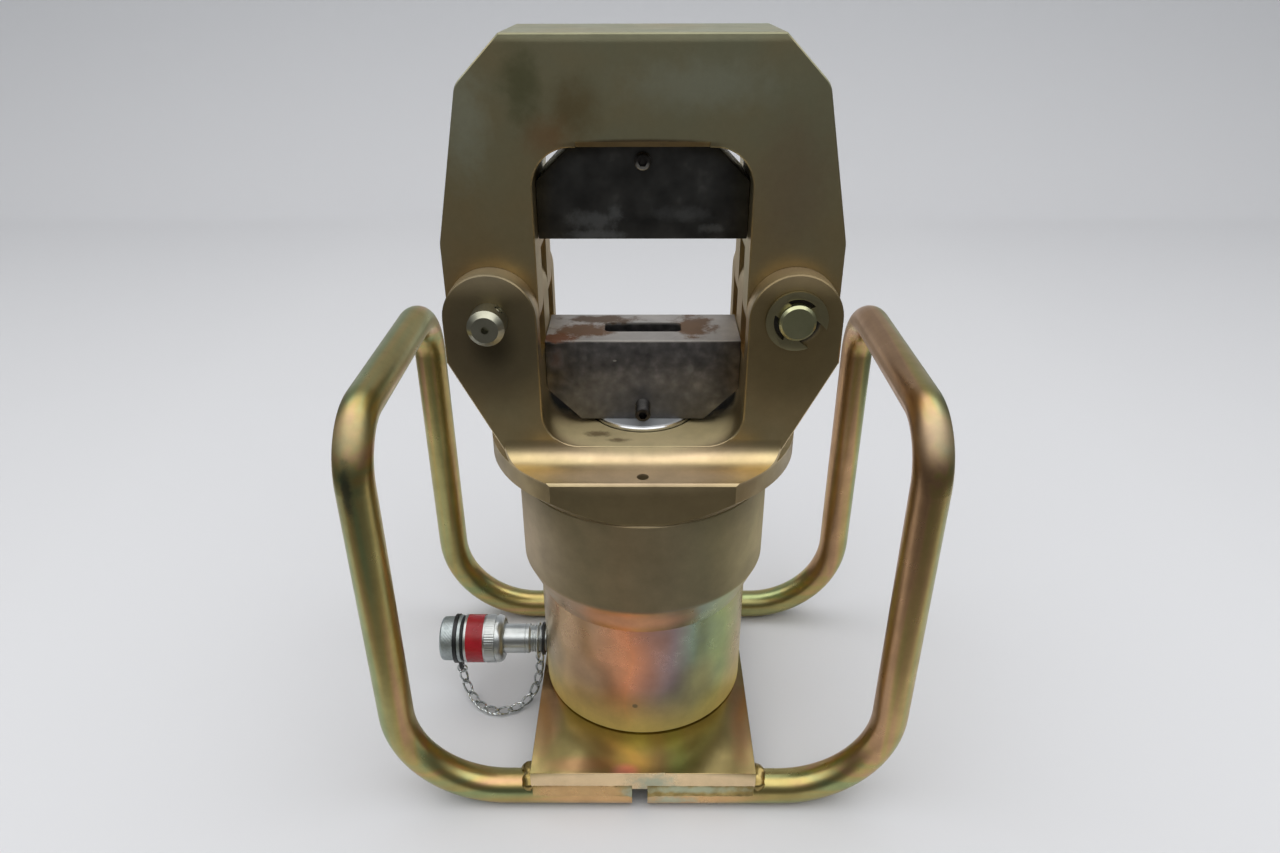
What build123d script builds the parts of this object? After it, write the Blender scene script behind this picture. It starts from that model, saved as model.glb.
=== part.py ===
from build123d import *
import os

# Hydraulic crimping head for cable lugs: a cylinder on a base plate with two carrying handles,
# a U-shaped head frame, and a yoke that two pins hold over a pair of die blocks.
# Millimetres, +Z up, X to the right, Y to the back. The origin is on the table, under the cylinder.

# Carrying handles, bent from one tube each
tube_diameter = 19.0
tube_wall = 2.5
leg_reach = 135.5
bar_height = 242.0
foot_bend_radius = 57.0
bar_bend_radius = 30.0
tube_end_gap = 8.8
tube_gap_shift = -1.8
tube_overhang = 1.0
weld_radius = 3.0
weld_arc = 112.0
seam_weld_rise = 2.2
seam_weld_drop = 4.4
seam_weld_crown = 0.4

# Base plate, let into the tubes
plate_margin = 2.25
plate_depth = 180.0
plate_thickness = 12.7
plate_seat = 16.3
base_screw_diameter = 10.0
base_screw_pitch_diameter = 90.0
base_screw_grip = 10.0
base_screw_head_diameter = 16.0
base_screw_head_height = 9.0
base_screw_hex = 8.0

# Cylinder, built outwards from its bore
bore_diameter = 101.6
cylinder_wall = 10.45
cylinder_step = 8.75
lower_height = 77.5
cone_height = 20.0
cylinder_height = 153.0
floor_thickness = 14.0
spigot_step = 7.2
spigot_length = 32.0
edge_chamfer = 1.2

# Ram, its seals and the return spring
ram_diameter = 57.15
ram_stand_out = 2.8
piston_foot_diameter = 40.0
piston_foot_height = 11.0
piston_height = 24.0
seal_height = 7.0
seal_depth = 6.2
backup_height = 2.5
wear_ring_height = 6.0
wear_ring_depth = 2.5
groove_land = 3.0
spring_wire = 7.0
spring_mean_diameter = 77.0
spring_turns = 6
spring_room = 3.5
spring_recess_depth = 26.0
bush_wall = 4.4
bush_length = 22.0
wiper_wall = 5.4
wiper_height = 6.0
wiper_lip = 4.0
ram_bore_gap = 0.6

# Head frame
flange_overhang = 13.0
flange_rim_height = 11.0
flange_flat_inset = 0.6
frame_depth = 89.0
frame_width = 189.4
frame_waist = 136.0
frame_shoulder_drop = 22.0
floor_rise = 7.2
window_width = 100.4
window_corner = 18.0
ledge_fillet = 11.5
lock_screw_diameter = 6.0
lock_screw_length = 16.0
lock_screw_bite = 5.0
lock_screw_inset = 7.4

# Yoke and its two pins
yoke_depth = 64.6
middle_ear_depth = 21.4
pin_diameter = 17.5
pin_rise = 68.1
ear_end_gap = 3.3
crown_thickness = 46.6
crown_width = 121.6
crown_corner_cut = 20.2
crown_corner_radius = 10.0
flare_rise = 33.2
flare_radius = 14.0
die_lead_width = 60.0
die_lead_depth = 2.6
latch_tip = 13.0
latch_tip_chamfer = 2.5
latch_centre_diameter = 3.6
latch_centre_depth = 5.0
latch_head_diameter = 27.0
latch_head_length = 9.0
detent_ball_diameter = 4.4
detent_set_back = 3.0
detent_angle = 40.0
detent_spring_length = 4.0
detent_spring_wire = 0.6
detent_spring_turns = 4
hinge_tip = 5.0
retainer_diameter = 29.0
retainer_thickness = 1.6
retainer_hoop = 4.2
retainer_grip_diameter = 13.6
retainer_tab = 8.0
retainer_mouth = 12.0
retainer_angle = -40.0

# Die blocks with their studs and set screws
die_height = 44.7
die_depth = 37.6
die_corner = 17.5
die_slot_length = 40.2
die_slot_width = 13.0
die_slot_corner = 3.0
die_slot_depth = 12.0
jaw_opening = 52.4
stud_diameter = 12.7
stud_stand = 15.0
stud_bury = 14.0
stud_end_gap = 1.0
set_screw_diameter = 7.9
set_screw_rise = 8.0
set_screw_hex = 4.0
set_screw_hex_depth = 4.0
lower_screw_stand_out = 12.0
upper_screw_stand_out = 4.0

# Hose coupler, dust cap and chain; lengths run outwards from the cylinder wall
port_rise = 18.8
port_thread_diameter = 17.2
port_thread_depth = 8.0
port_bore = 7.0
thread_show = 10.75
neck_diameter = 18.5
neck_length = 17.6
port_seal_diameter = 20.6
port_seal_height = 1.6
coupler_body_diameter = 23.0
coupler_body_length = 23.2
coupler_nose_diameter = 20.0
coupler_nose_length = 9.0
collar_diameter = 30.2
collar_lip = 1.3
collar_chamfer = 3.4
collar_gap = 0.3
band_width = 10.6
band_thickness = 0.5
band_edge = 1.7
snap_ring_height = 1.4
snap_ring_wire = 1.6
poppet_diameter = 9.0
poppet_length = 12.0
poppet_spring_length = 13.0
poppet_spring_wire = 1.0
poppet_spring_turns = 5
gasket_height = 1.6
gasket_diameter = 28.6
cap_flange_diameter = 29.4
cap_flange_height = 2.3
cap_diameter = 27.6
cap_groove_width = 2.3
cap_groove_depth = 0.6
cap_end_length = 8.4
cap_end_wall = 3.2
cap_chamfer = 1.4
cap_ring_diameter = 30.8
cap_ring_tab = 5.4
cap_ring_reach = 7.2
cap_ring_eye = 3.2
chain_wire = 1.6
chain_ring_wire = 1.2
chain_link_inside = 3.2
chain_links = 12
chain_play = 0.5
split_ring_radius = 3.0
anchor_ring_slack = 1.7
anchor_ring_offset = 5.6
chain_loop_reach = 19.4

# Fits
slide_fit = 0.05
piston_fit = 0.10
die_fit = 0.3
face_gap = 0.3
thread_fit = 0.1
hair_gap = 0.02

# Levels and half sizes that follow from the driving dimensions
tube_radius = tube_diameter / 2
plate_top = plate_seat + plate_thickness
leg_spread = plate_depth / 2 + tube_overhang - tube_radius
bore_radius = bore_diameter / 2
lower_radius = bore_radius + cylinder_wall
upper_radius = lower_radius + cylinder_step
plate_width = 2 * (lower_radius + plate_margin)
spigot_radius = bore_radius + spigot_step
cylinder_top = plate_top + cylinder_height
floor_z = plate_top + floor_thickness
spigot_bottom = cylinder_top - spigot_length
spring_top = spigot_bottom + spring_recess_depth
spring_recess_radius = (spring_mean_diameter + spring_wire) / 2 + spring_room
flange_radius = upper_radius + flange_overhang
flange_flat = upper_radius - flange_flat_inset
lock_screw_offset = flange_flat - lock_screw_inset
rim_bottom = cylinder_top + flange_overhang
ledge_z = rim_bottom + flange_rim_height
window_floor = ledge_z + floor_rise
window_half = window_width / 2
frame_half = frame_width / 2
pin_x = (frame_half + window_half) / 2
pin_z = window_floor + pin_rise
ear_radius = (frame_half - window_half) / 2
ear_face = frame_depth / 2
yoke_face = yoke_depth / 2
pin_radius = pin_diameter / 2
ram_radius = ram_diameter / 2
ram_top = window_floor + ram_stand_out
piston_bottom = floor_z + piston_foot_height
piston_top = piston_bottom + piston_height
lower_die_top = ram_top + die_height
upper_die_bottom = lower_die_top + jaw_opening
window_top = upper_die_bottom + die_height
yoke_top = window_top + crown_thickness
die_width = window_width - 2 * die_fit
port_z = plate_top + port_rise
retainer_fronts = (-ear_face - face_gap - retainer_thickness, ear_face + face_gap)
base_screw_places = PolarLocations(base_screw_pitch_diameter / 2, 4, start_angle=45).locations


def front_slab(outline, front, back):
    """A flat outline drawn in X and Z, given its depth from Y = front to Y = back."""
    return Pos(0, back, 0) * extrude(Plane.XZ * outline, amount=back - front, dir=(0, -1, 0))


def turned(profile):
    """A part turned about the vertical axis from (radius, height) points."""
    return revolve(Plane.XZ * Polygon(*profile, align=None), axis=Axis.Z)


def ring(outer, inner, bottom, top):
    """A plain ring about the vertical axis."""
    return turned([(inner, bottom), (outer, bottom), (outer, top), (inner, top)])


def turned_on_port(profile):
    """A part turned about the coupler's axis from (length outwards, radius) points."""
    face = Plane.XZ * Polygon(*[(-length, radius) for length, radius in profile], align=None)
    return Pos(-lower_radius, 0, port_z) * revolve(face, axis=Axis.X)


def coil(wire, mean_diameter, length, turns):
    """A compression spring that stands on Z = 0 and is as tall as its length."""
    rise = length - wire
    path = Helix(pitch=rise / turns, height=rise, radius=mean_diameter / 2)
    section = Plane(origin=path @ 0, z_dir=path % 0) * Circle(wire / 2)
    return Pos(0, 0, wire / 2) * sweep(section, path=path)


def bar_on_y(radius, front, back, x=0.0, z=0.0):
    """A round bar along Y."""
    return Pos(x, 0, 0) * front_slab(Pos(0, z) * Circle(radius), front, back)


def hex_socket(across, depth, face_y, z):
    """The key socket in the front end of a screw that lies along Y."""
    outline = Pos(0, z) * RegularPolygon(across / 2, 6, major_radius=False)
    return front_slab(outline, face_y, face_y + depth)


# Base plate and handles

def make_base_plate():
    plate = Pos(0, 0, plate_seat + plate_thickness / 2) * Box(plate_width, plate_depth, plate_thickness)
    hole = Pos(0, 0, plate_seat) * Cylinder(base_screw_diameter / 2 + thread_fit, 4 * plate_thickness)
    return plate - [spot * hole for spot in base_screw_places]


def make_base_screw():
    shank_top = plate_top + base_screw_grip
    shank = Cylinder(base_screw_diameter / 2, shank_top - plate_seat)
    shank = Pos(0, 0, (plate_seat + shank_top) / 2) * shank
    head = Cylinder(base_screw_head_diameter / 2, base_screw_head_height)
    head = Pos(0, 0, plate_seat - base_screw_head_height / 2) * head
    socket = RegularPolygon(base_screw_hex / 2, 6, major_radius=False)
    socket = extrude(socket, amount=base_screw_head_height / 2)
    return shank + head - Pos(0, 0, plate_seat - base_screw_head_height) * socket


def make_handle(side):
    """One bent tube: run under the plate, leg, top bar, leg, run. The plate sits in flats on the runs."""
    end_x = tube_gap_shift + side * tube_end_gap / 2
    leg_x = side * leg_reach
    path = FilletPolyline(
        (end_x, -leg_spread, tube_radius),
        (leg_x, -leg_spread, tube_radius),
        (leg_x, -leg_spread, bar_height),
        (leg_x, leg_spread, bar_height),
        (leg_x, leg_spread, tube_radius),
        (end_x, leg_spread, tube_radius),
        radius=[foot_bend_radius, bar_bend_radius, bar_bend_radius, foot_bend_radius],
    )
    wall = Circle(tube_radius) - Circle(tube_radius - tube_wall)
    tube = sweep(Plane(origin=path @ 0, z_dir=path % 0) * wall, path=path)
    flat = Pos(0, 0, plate_seat + tube_radius) * Box(plate_width, 2 * plate_depth, tube_diameter)
    return tube - flat


def make_weld(side, end, plate):
    """The bead over the crown of a tube, where it meets the edge of the plate."""
    bead_x = side * (plate_width / 2 + weld_radius / 2)
    plane = Plane.YZ.offset(bead_x)
    arc = plane * CenterArc((end * leg_spread, tube_radius), tube_radius, 90 - weld_arc / 2, weld_arc)
    bead = sweep(Plane(origin=arc @ 0, z_dir=arc % 0) * Circle(weld_radius), path=arc)
    core = Rot(0, 90, 0) * Cylinder(tube_radius, 4 * tube_diameter)
    return bead - Pos(bead_x, end * leg_spread, tube_radius) * core - plate


def make_seam_weld(side, end, plate):
    """The run that fills the groove between the plate's lower edge and the tube, nearly flush with both."""
    face = plate_depth / 2
    crown = face + tube_overhang + seam_weld_crown
    outline = Polygon(
        (face - tube_radius, plate_seat - seam_weld_drop),
        (crown - seam_weld_crown, plate_seat - seam_weld_drop),
        (crown, plate_seat - seam_weld_drop / 2),
        (crown - seam_weld_crown, plate_seat),
        (face, plate_seat + seam_weld_rise),
        (face - tube_radius, plate_seat + seam_weld_rise),
        align=None,
    )
    inner = tube_gap_shift + side * tube_end_gap / 2
    outer = side * (plate_width - weld_radius) / 2
    run = Plane.YZ * extrude(outline, amount=abs(outer - inner))
    if end < 0:
        run = mirror(run, Plane.XZ)
    run = Pos(min(inner, outer), 0, 0) * run
    core = Rot(0, 90, 0) * Cylinder(tube_radius, 2 * plate_width)
    return run - Pos(0, end * leg_spread, tube_radius) * core - plate


# Cylinder and what works inside it

def make_cylinder():
    body = turned([
        (0, plate_top),
        (lower_radius - edge_chamfer, plate_top),
        (lower_radius, plate_top + edge_chamfer),
        (lower_radius, plate_top + lower_height),
        (upper_radius, plate_top + lower_height + cone_height),
        (upper_radius, cylinder_top - edge_chamfer),
        (upper_radius - edge_chamfer, cylinder_top),
        (0, cylinder_top),
    ])
    bore = turned([
        (0, floor_z),
        (bore_radius, floor_z),
        (bore_radius, spigot_bottom),
        (spigot_radius, spigot_bottom),
        (spigot_radius, cylinder_top),
        (0, cylinder_top),
    ])
    port = turned_on_port([
        (0, 0),
        (0, port_thread_diameter / 2),
        (-port_thread_depth, port_thread_diameter / 2),
        (-port_thread_depth, port_bore / 2),
        (bore_radius - lower_radius - port_bore, port_bore / 2),
        (bore_radius - lower_radius - port_bore, 0),
    ])
    hole = Pos(0, 0, plate_top) * Cylinder(base_screw_diameter / 2, 2 * base_screw_grip)
    holes = [spot * hole for spot in base_screw_places]
    lock = Pos(0, -lock_screw_offset, cylinder_top) * Cylinder(lock_screw_diameter / 2, 2 * lock_screw_bite)
    return body - bore - port - holes - lock


def make_ram():
    """Piston and rod turned in one piece, with ring grooves and a tapped hole for the die stud."""
    piston_radius = bore_radius - piston_fit
    body = turned([
        (0, floor_z),
        (piston_foot_diameter / 2, floor_z),
        (piston_foot_diameter / 2, piston_bottom),
        (piston_radius - edge_chamfer, piston_bottom),
        (piston_radius, piston_bottom + edge_chamfer),
        (piston_radius, piston_top - edge_chamfer),
        (piston_radius - edge_chamfer, piston_top),
        (ram_radius, piston_top),
        (ram_radius, ram_top - edge_chamfer),
        (ram_radius - edge_chamfer, ram_top),
        (0, ram_top),
    ])
    seal_bottom, wear_bottom = ring_levels()
    backup_top = seal_bottom + seal_height + backup_height
    seal_groove = ring(bore_radius, bore_radius - seal_depth, seal_bottom, backup_top)
    wear_top = wear_bottom + wear_ring_height
    wear_groove = ring(bore_radius, bore_radius - wear_ring_depth, wear_bottom, wear_top)
    stud_hole = Pos(0, 0, ram_top) * Cylinder(stud_diameter / 2, 2 * stud_bury)
    return body - seal_groove - wear_groove - stud_hole


def ring_levels():
    """Where the seal groove and the wear ring groove begin on the piston."""
    seal_bottom = piston_bottom + groove_land
    wear_bottom = seal_bottom + seal_height + backup_height + groove_land
    return seal_bottom, wear_bottom


def make_piston_rings():
    """The cup seal with its open lip below, the backup ring over it, and the wear ring."""
    outer = bore_radius - slide_fit
    seal_bottom, wear_bottom = ring_levels()
    seal_top = seal_bottom + seal_height
    inner = bore_radius - seal_depth
    middle = (outer + inner) / 2
    seal = turned([
        (inner, seal_bottom),
        (middle, seal_bottom + seal_height / 2),
        (outer, seal_bottom),
        (outer, seal_top),
        (inner, seal_top),
    ])
    backup = ring(outer, inner, seal_top, seal_top + backup_height)
    wear = ring(outer, bore_radius - wear_ring_depth, wear_bottom, wear_bottom + wear_ring_height)
    return seal, backup, wear


# Head frame

def ear_circles():
    return [Pos(x, pin_z) * Circle(ear_radius) for x in (-pin_x, pin_x)]


def pin_bores(reach):
    return [bar_on_y(pin_radius + slide_fit, -reach, reach, x, pin_z) for x in (-pin_x, pin_x)]


def knuckle_slots(inner, outer, bottom, top):
    """Boxes over both knuckles, from depth Y = inner to Y = outer."""
    width = frame_half - window_half + 2 * window_corner
    box = Box(width, outer - inner, top - bottom)
    return [Pos(x, (inner + outer) / 2, (bottom + top) / 2) * box for x in (-pin_x, pin_x)]


def frame_window():
    """The outline of the window between the frame's two arms, open at the top."""
    height = 2 * (pin_rise + ear_radius)
    return Pos(0, window_floor + height / 2) * RectangleRounded(window_width, height, window_corner)


def make_head_frame():
    waist = frame_waist / 2
    shoulder = pin_z - frame_shoulder_drop
    outline = Polygon(
        (-waist, rim_bottom),
        (waist, rim_bottom),
        (waist, ledge_z),
        (frame_half, shoulder),
        (frame_half, pin_z),
        (-frame_half, pin_z),
        (-frame_half, shoulder),
        (-waist, ledge_z),
        align=None,
    )
    outline = outline + ear_circles() - frame_window()
    upright = front_slab(outline, -ear_face, ear_face)
    rims = upright.faces().filter_by(Axis.Y).edges()
    rims = rims.filter_by_position(Axis.Z, window_floor + window_corner, yoke_top)
    upright = chamfer(rims, edge_chamfer / 2)

    flange = turned([
        (0, cylinder_top),
        (upper_radius, cylinder_top),
        (flange_radius, rim_bottom),
        (flange_radius, ledge_z),
        (0, ledge_z),
    ])
    flats = Box(4 * flange_radius, 2 * flange_flat, 4 * flange_radius)
    flange = flange & Pos(0, 0, cylinder_top) * flats
    brows = flange.edges().filter_by(Axis.X).filter_by_position(Axis.Z, ledge_z - edge_chamfer / 2, ledge_z)
    flange = chamfer(brows, edge_chamfer)

    spigot = ring(spigot_radius, spring_recess_radius, spigot_bottom, cylinder_top)
    frame = flange + upright + spigot
    for front in (-1, 1):
        frame = frame + make_ledge_fillet(front)

    slot_floor = pin_z - ear_radius - ear_end_gap
    slot_inner = middle_ear_depth / 2
    slot_outer = yoke_face + face_gap
    frame = frame - knuckle_slots(slot_inner, slot_outer, slot_floor, yoke_top)
    frame = frame - knuckle_slots(-slot_outer, -slot_inner, slot_floor, yoke_top)
    frame = frame - pin_bores(frame_depth)

    bush_top = spring_top + bush_length
    wiper_top = window_floor - wiper_lip
    passage = ring(spring_recess_radius, 0, spigot_bottom, spring_top)
    passage = passage + ring(ram_radius + bush_wall, 0, spring_top, bush_top)
    passage = passage + ring(ram_radius + ram_bore_gap, 0, bush_top, window_floor)
    passage = passage + ring(ram_radius + wiper_wall, 0, wiper_top - wiper_height, wiper_top)
    lock = Cylinder(lock_screw_diameter / 2, 4 * flange_rim_height + spigot_length)
    return frame - passage - Pos(0, -lock_screw_offset, ledge_z) * lock


def make_ledge_fillet(front):
    """The hollow that runs along the foot of the upright's flat face, onto the flange."""
    waist = frame_waist / 2
    slope = (frame_half - waist) / (pin_z - frame_shoulder_drop - ledge_z)
    top_half = waist + slope * ledge_fillet
    top = ledge_z + ledge_fillet
    face = Polygon((-waist, ledge_z), (waist, ledge_z), (top_half, top), (-top_half, top), align=None)
    face = face - frame_window()
    if front < 0:
        block = front_slab(face, -ear_face - ledge_fillet, -ear_face)
    else:
        block = front_slab(face, ear_face, ear_face + ledge_fillet)
    hollow = Rot(0, 90, 0) * Cylinder(ledge_fillet, 2 * frame_width)
    block = block - Pos(0, front * (ear_face + ledge_fillet), top) * hollow
    return block & ring(flange_radius, 0, ledge_z, top)


def make_guide_bush():
    return ring(ram_radius + bush_wall, ram_radius + slide_fit, spring_top, spring_top + bush_length)


def make_wiper():
    """A scraper ring: its thin upper lip leans on the ram."""
    top = window_floor - wiper_lip
    bottom = top - wiper_height
    inner = ram_radius + slide_fit
    outer = ram_radius + wiper_wall
    back = inner + wiper_wall / 4
    return turned([
        (back, bottom),
        (outer, bottom),
        (outer, top),
        (back, top),
        (inner, top - wiper_height / 8),
        (inner, top - wiper_height / 4),
        (back, top - wiper_height / 2),
    ])


def make_lock_screw():
    bottom = cylinder_top - lock_screw_bite
    body = Cylinder(lock_screw_diameter / 2, lock_screw_length)
    socket = RegularPolygon(lock_screw_diameter / 4, 6, major_radius=False)
    socket = extrude(socket, amount=-lock_screw_diameter / 2)
    screw = body - Pos(0, 0, lock_screw_length / 2) * socket
    return Pos(0, -lock_screw_offset, bottom + lock_screw_length / 2) * screw


# Yoke and pins

def make_yoke():
    crown_half = crown_width / 2
    shoulder_half = crown_half + crown_corner_cut
    shoulder_z = yoke_top - crown_corner_cut
    flare_z = pin_z + flare_rise
    outline = Polygon(
        (-frame_half, pin_z),
        (frame_half, pin_z),
        (frame_half, flare_z),
        (shoulder_half, shoulder_z),
        (crown_half, yoke_top),
        (-crown_half, yoke_top),
        (-shoulder_half, shoulder_z),
        (-frame_half, flare_z),
        align=None,
    )
    for height, radius in ((shoulder_z, crown_corner_radius), (flare_z, flare_radius)):
        near = (height - edge_chamfer, height + edge_chamfer)
        outline = fillet(outline.vertices().filter_by_position(Axis.Y, *near), radius)
    window_height = 2 * (window_top - pin_z + ear_radius)
    window = RectangleRounded(window_width, window_height, window_corner)
    outline = outline + ear_circles() - Pos(0, window_top - window_height / 2) * window
    plate = front_slab(outline, -yoke_face, yoke_face)
    plate = chamfer(plate.faces().filter_by(Axis.Y).edges(), edge_chamfer / 2)

    slot_half = middle_ear_depth / 2 + face_gap
    slot_top = pin_z + ear_radius + ear_end_gap
    plate = plate - knuckle_slots(-slot_half, slot_half, pin_z - 2 * ear_radius, slot_top)
    plate = plate - pin_bores(yoke_depth)
    stud_hole = Pos(0, 0, window_top) * Cylinder(stud_diameter / 2, 2 * stud_bury)
    lead = Polygon(
        (-yoke_face, window_top + die_lead_depth),
        (-yoke_face + die_lead_depth, window_top),
        (-yoke_face, window_top),
        align=None,
    )
    lead = extrude(Plane.YZ * lead, amount=die_lead_width / 2, both=True)
    return plate - stud_hole - lead - mirror(lead, about=Plane.XZ)


def make_latch_pin():
    """A headed pin, pulled out to the back. Its chamfered tip has a turning centre and a detent."""
    tip_y = -ear_face - latch_tip
    shank_end = ear_face + face_gap
    head_end = shank_end + latch_head_length
    head_radius = latch_head_diameter / 2
    profile = Polygon(
        (0, tip_y),
        (pin_radius - latch_tip_chamfer, tip_y),
        (pin_radius, tip_y + latch_tip_chamfer),
        (pin_radius, shank_end),
        (head_radius - edge_chamfer, shank_end),
        (head_radius, shank_end + edge_chamfer),
        (head_radius, head_end - edge_chamfer),
        (head_radius - edge_chamfer, head_end),
        (0, head_end),
        align=None,
    )
    pin = Pos(-pin_x, 0, pin_z) * revolve(profile, axis=Axis.Y)
    centre = bar_on_y(latch_centre_diameter / 2, tip_y, tip_y + latch_centre_depth, -pin_x, pin_z)
    pocket = detent_place() * Cylinder(detent_ball_diameter / 2 + hair_gap, 2 * detent_depth())
    return pin - centre - pocket


def detent_depth():
    """How deep the detent's hole goes into the pin: the ball and its spring."""
    return detent_ball_diameter + detent_spring_length


def detent_place():
    """The mouth of the detent's hole, on the pin just in front of the ear, looking outwards along Z."""
    y = -ear_face - detent_set_back
    return Pos(-pin_x, y, pin_z) * Rot(0, detent_angle, 0) * Pos(0, 0, pin_radius)


def make_detent_ball():
    radius = detent_ball_diameter / 2
    return detent_place() * Pos(0, 0, hair_gap - radius) * Sphere(radius)


def make_detent_spring():
    mean = detent_ball_diameter - 2 * detent_spring_wire
    spring = coil(detent_spring_wire, mean, detent_spring_length, detent_spring_turns)
    return detent_place() * Pos(0, 0, -detent_depth()) * spring


def make_hinge_pin():
    """A plain pin with a groove at each end for its retaining ring."""
    end = ear_face + hinge_tip
    bar = bar_on_y(pin_radius, -end, end, pin_x, pin_z)
    bar = chamfer(bar.edges().filter_by(GeomType.CIRCLE), edge_chamfer)
    for inner in retainer_fronts:
        band = bar_on_y(pin_diameter, inner, inner + retainer_thickness, pin_x, pin_z)
        bar = bar - (band - bar_on_y(retainer_grip_diameter / 2, -end, end, pin_x, pin_z))
    return bar


def make_retainer(inner):
    """A sprung ring whose three tabs grip the groove, with a mouth to push it on by."""
    outer = retainer_diameter / 2
    grip = retainer_grip_diameter / 2
    tab = Pos((outer + grip) / 2, 0) * Rectangle(outer - grip, retainer_tab)
    outline = Circle(outer) - Circle(outer - retainer_hoop)
    for turn in (0, 120, -120):
        outline = outline + Rot(0, 0, turn + 180) * tab
    outline = (outline & Circle(outer)) - Circle(grip)
    outline = outline - Pos(outer / 2, 0) * Rectangle(outer * 1.2, retainer_mouth)
    outline = Pos(pin_x, pin_z) * Rot(0, 0, retainer_angle) * outline
    return front_slab(outline, inner, inner + retainer_thickness)


# Dies

def make_die(seat, up):
    """A die block: chamfered corners at its seat, a pocket for the die nest in its working face."""
    half = die_width / 2
    face_z = seat + up * die_height
    corner_z = seat + up * die_corner
    outline = Polygon(
        (-half + die_corner, seat),
        (half - die_corner, seat),
        (half, corner_z),
        (half, face_z),
        (-half, face_z),
        (-half, corner_z),
        align=None,
    )
    block = front_slab(outline, -die_depth / 2, die_depth / 2)
    pocket = RectangleRounded(die_slot_length, die_slot_width, die_slot_corner)
    pocket = extrude(pocket, amount=die_slot_depth, both=True)
    stud_hole = Cylinder(stud_diameter / 2 + slide_fit, 2 * (stud_stand + stud_end_gap))
    screw_hole = bar_on_y(set_screw_diameter / 2, -die_depth, 0, 0, seat + up * set_screw_rise)
    return block - Pos(0, 0, face_z) * pocket - Pos(0, 0, seat) * stud_hole - screw_hole


def make_stud(seat, up):
    stud = Cylinder(stud_diameter / 2, stud_stand + stud_bury)
    return Pos(0, 0, seat + up * (stud_stand - stud_bury) / 2) * stud


def make_set_screw(seat, up, stand_out):
    """The screw in the front of a die that clamps it on its stud."""
    z = seat + up * set_screw_rise
    front = -die_depth / 2 - stand_out
    screw = bar_on_y(set_screw_diameter / 2, front, -stud_diameter / 2, 0, z)
    screw = chamfer(screw.edges().filter_by(GeomType.CIRCLE), set_screw_diameter / 12)
    stud_clear = Pos(0, 0, z) * Cylinder(stud_diameter / 2 + hair_gap, 2 * set_screw_diameter)
    return screw - hex_socket(set_screw_hex, set_screw_hex_depth, front, z) - stud_clear


# Hose coupler with its dust cap

def coupler_stations():
    """Distances from the cylinder wall to the coupler's shoulders, outwards."""
    neck_end = thread_show + neck_length
    body_end = neck_end + coupler_body_length
    nose_end = body_end + coupler_nose_length
    return neck_end, body_end, nose_end


def make_nipple():
    """The threaded adapter between the port and the coupler, with a bore for the oil."""
    neck_end = coupler_stations()[0]
    thread = port_thread_diameter / 2
    return turned_on_port([
        (-port_thread_depth, port_bore / 2),
        (-port_thread_depth, thread),
        (thread_show, thread),
        (thread_show, neck_diameter / 2),
        (neck_end, neck_diameter / 2),
        (neck_end, port_bore / 2),
    ])


def make_port_seal():
    inner = port_thread_diameter / 2
    outer = port_seal_diameter / 2
    stop = edge_chamfer + port_seal_height
    return turned_on_port([(edge_chamfer, inner), (edge_chamfer, outer), (stop, outer), (stop, inner)])


def make_coupler_body():
    neck_end, body_end, nose_end = coupler_stations()
    body = coupler_body_diameter / 2
    groove = body - snap_ring_wire / 2
    ring_start = body_end - snap_ring_height
    nose = coupler_nose_diameter / 2
    valve = poppet_diameter / 2 + slide_fit
    valve_start = nose_end - poppet_length - poppet_spring_length
    return turned_on_port([
        (neck_end, port_bore / 2),
        (neck_end, body),
        (ring_start, body),
        (ring_start, groove),
        (body_end, groove),
        (body_end, nose),
        (nose_end, nose),
        (nose_end, valve),
        (valve_start, valve),
        (valve_start, port_bore / 2),
    ])


def make_snap_ring():
    """The ring at the end of the coupler body that keeps the collar on."""
    body_end = coupler_stations()[1]
    inner = coupler_body_diameter / 2 - snap_ring_wire / 2
    start = body_end - snap_ring_height
    outer = inner + snap_ring_wire
    return turned_on_port([(start, inner), (start, outer), (body_end, outer), (body_end, inner)])


def collar_ends():
    """Where the collar begins, behind the body's shoulder, and where it ends, past the snap ring."""
    neck_end, body_end, nose_end = coupler_stations()
    return neck_end - collar_gap - collar_lip, body_end + collar_gap


def make_collar():
    """The sleeve that turns on the coupler body, with a band seat and a pocket for the snap ring."""
    start, end = collar_ends()
    outer = collar_diameter / 2
    inner = coupler_body_diameter / 2 + collar_gap
    neck = neck_diameter / 2 + collar_gap
    lip_end = start + collar_lip
    band_end = end - band_edge
    band_start = band_end - band_width
    band_seat = outer - band_thickness
    pocket_start = end - 2 * snap_ring_height
    pocket = inner + snap_ring_wire
    return turned_on_port([
        (start, neck),
        (start, outer - collar_chamfer),
        (start + collar_chamfer, outer),
        (band_start, outer),
        (band_start, band_seat),
        (band_end, band_seat),
        (band_end, outer),
        (end, outer),
        (end, pocket),
        (pocket_start, pocket),
        (pocket_start, inner),
        (lip_end, inner),
        (lip_end, neck),
    ])


def make_band():
    end = collar_ends()[1] - band_edge
    outer = collar_diameter / 2
    inner = outer - band_thickness
    start = end - band_width
    return turned_on_port([(start, inner), (start, outer), (end, outer), (end, inner)])


def make_poppet():
    """The valve that closes the coupler's nose until a hose is joined."""
    nose_end = coupler_stations()[2]
    start = nose_end - poppet_length
    shoulder = poppet_diameter / 4
    return turned_on_port([
        (start, 0),
        (start, 2 * shoulder),
        (nose_end - shoulder, 2 * shoulder),
        (nose_end, shoulder),
        (nose_end, 0),
    ])


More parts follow.
